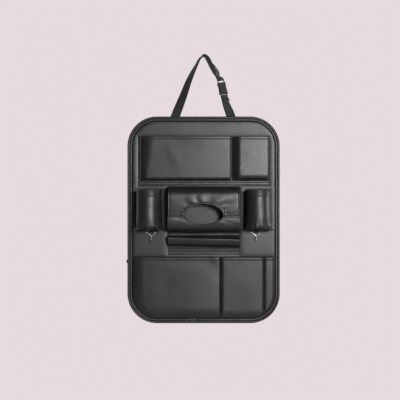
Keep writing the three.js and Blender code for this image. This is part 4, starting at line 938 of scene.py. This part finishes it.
def bar_turn(bar, direction):
    """The webbing's way round a buckle's bar, from behind it to its front."""
    places = [(0, BAR_RADIUS, bar + direction * 5.0)]
    places += [(0, BAR_RADIUS * math.cos(a), bar - direction * BAR_RADIUS * math.sin(a))
               for a in np.linspace(0, math.pi, 13)]
    return on_buckle(places)


def tail_back(centres, acrosses, turn, length):
    """A strap's end that runs back along it from the bar, one thickness of the bar away."""
    tail, sides, run = [], [], 0.0
    face_at = lambda j: unit(np.cross(centres[j] - centres[j - 1], acrosses[j]))
    gap = 2 * BAR_RADIUS * np.sign(np.dot(face_at(len(centres) - 1), turn[-1] - turn[0]))
    for j in range(len(centres) - 1, 0, -1):
        run += np.linalg.norm(centres[j] - centres[j - 1])
        if run > length:
            break
        tail.append(centres[j] + face_at(j) * gap)
        sides.append(acrosses[j])
    return tail, sides


def loose_end(centres, acrosses, turn, length):
    """The strap's free end, which lies beside the strap like the other half of a fold."""
    tail, sides, run, half = [], [], 0.0, WEB_WIDTH / 2
    for j in range(len(centres) - 1, 0, -1):
        step = centres[j] - centres[j - 1]
        run += np.linalg.norm(step)
        if run > length:
            break
        outward = unit(np.cross(step, [0.0, 1.0, 0.0]))
        depth = unit(np.cross(outward, step))
        angle = math.radians(np.interp(run, *END_TWIST))
        own = outward * math.cos(angle) + depth * math.sin(angle)
        front_edge = centres[j] - acrosses[j] * np.sign(acrosses[j][1]) * half
        beside = front_edge + outward * 0.9 + depth * 2.0 + own * half
        share = ease(run / 18)
        middle = (turn[-1] + centres[j] - centres[-1]) * (1 - share) + beside * share
        tail.append(middle - outward * 1.6 * math.exp(-((run - 8) / 7) ** 2))
        sides.append(own)
    return tail, sides


def strap_foot(x, towards_x, towards_rise):
    """Where a strap leaves the panel: three points up to its top edge, and the ways along and across."""
    foot = np.array([x, STRAP_Y, TOP])
    lean = unit(np.array([towards_x - x, 0, towards_rise]))
    return [foot - lean * 22, foot - lean * 11, foot], lean, np.array([lean[2], 0, -lean[0]])


def upper_strap():
    feet, lean, across = strap_foot(STRAP_LEFT, STRAP_LEFT * 0.72, STRAP_RISE * 0.33)
    turn = bar_turn(SOCKET_BAR, 1)
    left_leg = [(0.72, 0.3, 0.33), (0.5, 0.6, 0.6), (0.28, 0.9, 0.81), (0.095, 1, 0.957)]
    left = [(x * STRAP_LEFT, y * APEX_Y, TOP + up * STRAP_RISE) for x, y, up in left_leg]
    peak = [(x, APEX_Y + back, TOP + up * STRAP_RISE) for x, back, up in STRAP_PEAK]
    points = [feet[2] + lean * 4, *left, *peak, turn[0]]
    curve = spline(points, STRAP_STEPS)
    along = unit(np.gradient(curve, axis=0))
    turns = np.radians([*STRAP_TWIST, math.degrees(TURN)])
    angle = np.interp(np.arange(len(curve)) / STRAP_STEPS, np.arange(len(turns)), turns)[:, None]
    outward = unit(np.cross(along, BACK))
    depth = unit(np.cross(outward, along))
    centres = np.vstack([feet, curve])
    acrosses = untwisted(np.vstack([[across] * 3, -(outward * np.cos(angle) + depth * np.sin(angle))]))
    tail, sides = loose_end(centres, acrosses, turn, UPPER_TAIL)
    # Hung from a narrow point, the webbing's two edges droop there.
    droop = lambda at: -4.6 * bell((at[:, 0] + 1) / 13) * ease((at[:, 2] - TOP - 130) / 28)
    ribbon("upper_strap", np.vstack([centres, turn[1:], tail]),
           np.vstack([acrosses, [BUCKLE_ACROSS] * (len(turn) - 1), sides]), droop)


def lower_strap():
    feet, lean, across = strap_foot(STRAP_RIGHT, BUCKLE_CENTRE[0] + 6, 47.5)
    turn = bar_turn(PLUG_BAR, -1)
    curve = spline([feet[2], feet[2] + lean * 4, turn[0], turn[1]], 14)[14:28]
    share = np.linspace(0, 1, len(curve))[:, None]
    centres = np.vstack([feet, curve, turn[:1]])
    acrosses = np.vstack([[across] * 3, unit(across * (1 - share) + BUCKLE_ACROSS * share),
                          [BUCKLE_ACROSS]])
    tail, sides = tail_back(centres, acrosses, turn, LOWER_TAIL)
    ribbon("lower_strap", np.vstack([centres, turn[1:], tail]),
           np.vstack([acrosses, [BUCKLE_ACROSS] * (len(turn) - 1), sides]))


def plate(loops, low, high, bevel):
    """A flat moulding with rounded edges, from loops of (x, z) between two depths of the upright buckle."""
    curve = bpy.data.curves.new("plate", "CURVE")
    curve.dimensions = "2D"
    curve.fill_mode = "BOTH"
    curve.extrude = (high - low) / 2 - bevel
    curve.bevel_depth = bevel
    curve.bevel_resolution = 3
    curve.offset = -bevel
    for loop in loops:
        line = curve.splines.new("POLY")
        line.points.add(len(loop) - 1)
        line.use_cyclic_u = True
        for point, (x, z) in zip(line.points, loop):
            point.co = (x, z, 0, 1)
    holder = bpy.data.objects.new("plate", curve)
    bpy.context.scene.collection.objects.link(holder)
    mesh = bpy.data.meshes.new_from_object(holder.evaluated_get(bpy.context.evaluated_depsgraph_get()))
    bpy.data.objects.remove(holder)
    bpy.data.curves.remove(curve)
    points = np.array([v.co[:] for v in mesh.vertices])
    faces = [list(p.vertices) for p in mesh.polygons]
    bpy.data.meshes.remove(mesh)
    return np.stack([points[:, 0], points[:, 2] + (low + high) / 2, points[:, 1]], -1), faces


def rounded(width, low, high, radius, waist=0.0, middle=0.0):
    """A rounded rectangle's outline, its sides drawn in by waist halfway up."""
    x, bottom, top = width / 2 - radius, low + radius, high - radius
    loop = []
    for k, (cx, cz) in enumerate(((x, bottom), (x, top), (-x, top), (-x, bottom))):
        turn = [math.radians(90 * (k - 1) + a) for a in range(0, 91, 15)]
        loop += [(cx + radius * math.cos(a), cz + radius * math.sin(a)) for a in turn]
        if waist and k in (0, 2):
            sign, far = (1, top) if k == 0 else (-1, bottom)
            side = [(width / 2 - waist * math.sin(math.pi * s), s) for s in np.linspace(0.08, 0.92, 12)]
            loop += [(sign * px, cz + (far - cz) * s) for px, s in side]
    return [(px + middle, pz) for px, pz in loop]


def buckle():
    def assemble(node_name, parts):
        points, faces, count = [], [], 0
        for flat, polygons in [plate(*part) for part in parts]:
            points.append(on_buckle(flat))
            faces += [[v + count for v in face] for face in polygons]
            count += len(flat)
        add_mesh(f"{node_name}_moulding", np.vstack(points), faces, PLASTIC, nodes=[node_name],
                 sharp=35)

    frame_of = lambda low, high, inner_low, inner_high: (
        [rounded(BUCKLE_WIDTH, low, high, 2.2), rounded(SLOT_WIDTH, inner_low, inner_high, 0.9)],
        -1.3, 1.3, 0.5)
    out = (BUCKLE_WIDTH - WALL) / 2
    wall = lambda side, low, high: ([rounded(WALL, low, high, 0.8, middle=side * out)], -3.4, 3.4, 0.3)
    shell = rounded(BUCKLE_WIDTH, 0, SHELL_HEIGHT, 3.0, 1.5)
    # The socket: two faces, the raised field, its walls and end, the frame round the bar, and ribs.
    assemble("buckle_socket", [
        ([shell], -4.0, -2.4, 0.6),
        ([shell], 2.4, 4.0, 0.6),
        ([rounded(18, 4.5, 24, 3.4)], -4.4, -3.8, 0.28),
        wall(-1, 17, 27.6),
        wall(1, 17, 27.6),
        ([rounded(27.2, 24.4, 27.8, 0.8)], -3.2, 3.2, 0.4),
        wall(-1, 0.2, 4),
        wall(1, 0.2, 4),
        frame_of(24, 37.6, 28, 35),
        *(([rounded(12, z - 0.5, z + 0.5, 0.45)], -4.8, -4.3, 0.2) for z in (8.0, 10.6, 13.2, 15.8, 18.4))])
    arm = [(8.2, -1), (12.2, -1), (12.5, 4), (12.6, 10), (12.5, 15), (11.6, 19.6), (10.4, 20.8),
           (9.2, 19.8), (8.2, 14), (7.9, 6)]
    # The plug: its shoulder, the bar's frame, the middle guide and two sprung prongs.
    assemble("buckle_plug", [
        ([rounded(34, -5, -0.3, 2.2)], -3.7, 3.7, 0.9),
        frame_of(-10.8, -1, -8.2, -5),
        ([rounded(4, -1, 16.8, 0.8)], -2.1, 2.1, 0.4),
        *(([[(sign * x, z) for x, z in arm]], -2.1, 2.1, 0.5) for sign in (-1, 1))])


# The hooks and the webbing that holds them.

def tube(points, radius, closed=False):
    """Rings round a smooth path, without twist."""
    points = np.asarray(points, float)
    along = unit(np.roll(points, -1, 0) - np.roll(points, 1, 0) if closed else np.gradient(points, axis=0))
    side = np.zeros_like(points)
    reference = unit(np.cross(along[0], [0.3, 1.0, 0.2]))
    for j, direction in enumerate(along):
        reference = unit(reference - direction * np.dot(reference, direction))
        side[j] = reference
    other = np.cross(along, side)
    spin = (np.arange(WIRE_SIDES) / WIRE_SIDES * 2 * math.pi)[:, None]
    radius = np.broadcast_to(radius, len(points))[:, None, None]
    return points[:, None] + radius * (side[:, None] * np.cos(spin) + other[:, None] * np.sin(spin))


def hook(name, cx):
    """A loop of wire with two ears, which narrows to a stem that bends forwards into the hook."""
    ear, drop = 11.5, 10.5
    half = [(0.3 * ear, 0), (0.66 * ear, 0), (ear, -0.14 * drop), (0.93 * ear, -0.4 * drop),
            (0.55 * ear, -0.56 * drop), (0.2 * ear, -0.86 * drop)]
    loop = half + [(0, -drop)] + [(-x, z) for x, z in reversed(half)]
    ring = spline([(x, 0, z) for x, z in loop * 3], 14)[13 * 14:26 * 14]
    bend, foot = 4.6, -19.5
    stem = [(0, 0, -drop + 0.4), (0, 0, -drop - 3), (0, 0, -drop - 6), (0, 0, foot)]
    stem += [(0, -bend + bend * math.cos(a), foot - bend * math.sin(a))
             for a in np.linspace(0.3, math.pi, 9)]
    path = spline(stem + [(0, -9.8, -16.0)], 10)
    left = len(path) - np.arange(len(path))
    # A crimped collar where the loop's two ends meet the stem.
    collar, s = [(0, 0, z) for z in np.linspace(-drop + 0.8, -drop - 3.6, 14)], np.linspace(-3, 3, 14)
    swell = 2.15 + 0.25 * np.sin(np.linspace(0, 3 * math.pi, 14)) - 0.7 * bell(s - 3) - 0.7 * bell(s + 3)
    points, faces, count = [], [], 0
    for rings, closed in ((tube(ring, WIRE, closed=True), True),
                          (tube(path, WIRE * 1.15 * np.where(left < 6, rise(left / 6.5), 1.0)), False),
                          (tube(collar, swell), False)):
        points.append(rings.reshape(-1, 3) + [cx, BAR_Y, BAR_Z])
        rows = len(rings)
        faces += capped(rows, WIRE_SIDES, count) if not closed else quads(
            rows, WIRE_SIDES, count, round_rows=True, round_cols=True).tolist()
        count += rows * WIRE_SIDES
    add_mesh(f"{name}_hook_wire", np.vstack(points), faces, CHROME, body=f"{name}_hook",
             nodes=[f"{name}_hook"], sharp=60)


def hook_tab(name, cx):
    """The webbing loop round the hook's bar."""
    radius, top, rows, cols = WIRE + 0.3 + 1.2, CUP_BOTTOM + 6, 70, 15
    path = [(SEWN, top), (SEWN, (top + BAR_Z) / 2)]
    path += [(BAR_Y + radius * math.cos(-a), BAR_Z + radius * math.sin(-a))
             for a in np.linspace(0, math.pi, 13)]
    curve = resample(path + [(SEWN - 3.0, top - 3), (SEWN - 2.7, top)], rows)
    wide = np.linspace(-8, 8, cols)
    outer = np.stack(np.broadcast_arrays(cx + wide, curve[:, :1], curve[:, 1:]), -1)
    direction = normals(outer)
    if direction[np.argmin(curve[:, 1]), cols // 2, 2] > 0:
        direction = -direction
    points, faces = thick_grid(outer, outer - direction * 1.2)
    uvs = np.stack(np.broadcast_arrays(wide, np.linspace(0, 40, rows)[:, None]), -1).reshape(-1, 2)
    uvs = np.vstack([uvs, uvs, np.zeros((len(points) - 2 * len(uvs), 2))])
    add_mesh(f"{name}_hook_webbing", points, faces, WEBBING, nodes=[f"{name}_hook_tab"], uvs=uvs)


def side_tab():
    """A doubled end of webbing that shows at the left edge."""
    x, turn = np.linspace(-200, -212.7, 16), np.linspace(0, 2 * math.pi, 24, endpoint=False)
    high = -114.8 + 4.0 * np.sign(np.sin(turn)) * np.abs(np.sin(turn)) ** 0.3
    rings = [np.column_stack([np.full(24, place),
                              STRAP_Y + 0.7 * rise((place + 212.9) / 1.2) * np.cos(turn),
                              high])
             for place in x]
    uvs = np.stack(rings)[..., [2, 0]]
    add_mesh("left_side_webbing", rings, capped(16, 24), WEBBING, nodes=["left_side_tab"],
             uvs=uvs)


# The lights, floor and camera, in metres.
BACKDROP, FLOOR_Z = (0.790, 0.712, 0.734, 1), -0.62


def area_light(name, place, size, power):
    """A round lamp that faces the origin."""
    data = bpy.data.lights.new(name, "AREA")
    data.shape, data.size, data.energy = "DISK", size, power
    lamp = bpy.data.objects.new(name, data)
    lamp.location = place
    lamp.rotation_euler = (-Vector(place)).to_track_quat("-Z", "Y").to_euler()
    bpy.context.scene.collection.objects.link(lamp)


def studio():
    scene = bpy.context.scene
    scene.view_settings.view_transform = "Standard"
    world = bpy.data.worlds.new("studio")
    world.use_nodes = True
    scene.world = world
    tree = world.node_tree
    seen = tree.nodes["Background"]
    seen.inputs["Color"].default_value = BACKDROP
    # The camera sees one pale colour. The part is lit by it from behind only.
    way = node(tree, "ShaderNodeSeparateXYZ", {0: coordinates(tree, "Generated")})
    behind = ramp(tree, way.outputs["Y"], 0.03, 0.5, -0.1, 0.5)
    fill = node(tree, "ShaderNodeBackground", {"Color": (1.0, 0.985, 0.99, 1), "Strength": behind})
    path = node(tree, "ShaderNodeLightPath")
    mix = node(tree, "ShaderNodeMixShader", {0: path.outputs["Is Camera Ray"], 1: fill.outputs[0],
                                             2: seen.outputs[0]})
    tree.links.new(mix.outputs[0], tree.nodes["World Output"].inputs["Surface"])
    area_light("front", (0.80, -2.7, 0.42), 0.7, 58)
    area_light("side", (1.3, 0.0, 0.12), 0.3, 4)
    floor_made, tree, shader = material("studio_floor", Roughness=0.8)
    soft = node(tree, "ShaderNodeTexNoise", {"Vector": coordinates(tree), "Scale": 2.0}).outputs["Fac"]
    tint(tree, shader, soft, (0.70, 0.65, 0.665), (0.72, 0.67, 0.685))
    mesh = bpy.data.meshes.new("studio_floor")
    corners = [(x, y, FLOOR_Z) for x, y in ((-3, -3), (3, -3), (3, 0.45), (-3, 0.45))]
    mesh.from_pydata(corners, [], [(0, 1, 2, 3)])
    mesh.materials.append(floor_made)
    floor = bpy.data.objects.new("studio_floor", mesh)
    scene.collection.objects.link(floor)
    data = bpy.data.cameras.new("camera")
    data.sensor_width, data.lens = 36.0, 98.04
    camera = bpy.data.objects.new("camera", data)
    camera.location = (-0.0099, -3.01, 0.0547)
    camera.rotation_euler = (math.radians(90), 0, 0)
    scene.collection.objects.link(camera)
    scene.camera = camera


def dress(nodename, made):
    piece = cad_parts[nodename]
    piece.data.materials.clear()
    piece.data.materials.append(made)


front_panel()
edge_binding()
back_sheet()
upper_left_pocket()
upper_right_pocket()
lower_left_pocket()
lower_right_pocket()
seam_strip()
for side, name in ((-1, "left"), (1, "right")):
    cup_holder(name, side, side * CUP_X)
    hook(name, side * HOOK_X)
    hook_tab(name, side * HOOK_X)
    dress(f"{name}_flap_fastener", FASTENER)
    dress(f"{name}_sleeve_fastener", FASTENER)
tissue_flap()
tissue_sleeve()
upper_strap()
lower_strap()
buckle()
side_tab()
dress("stiffener_board", BOARD)
stitches.build("seam_stitches", THREAD)
studio()
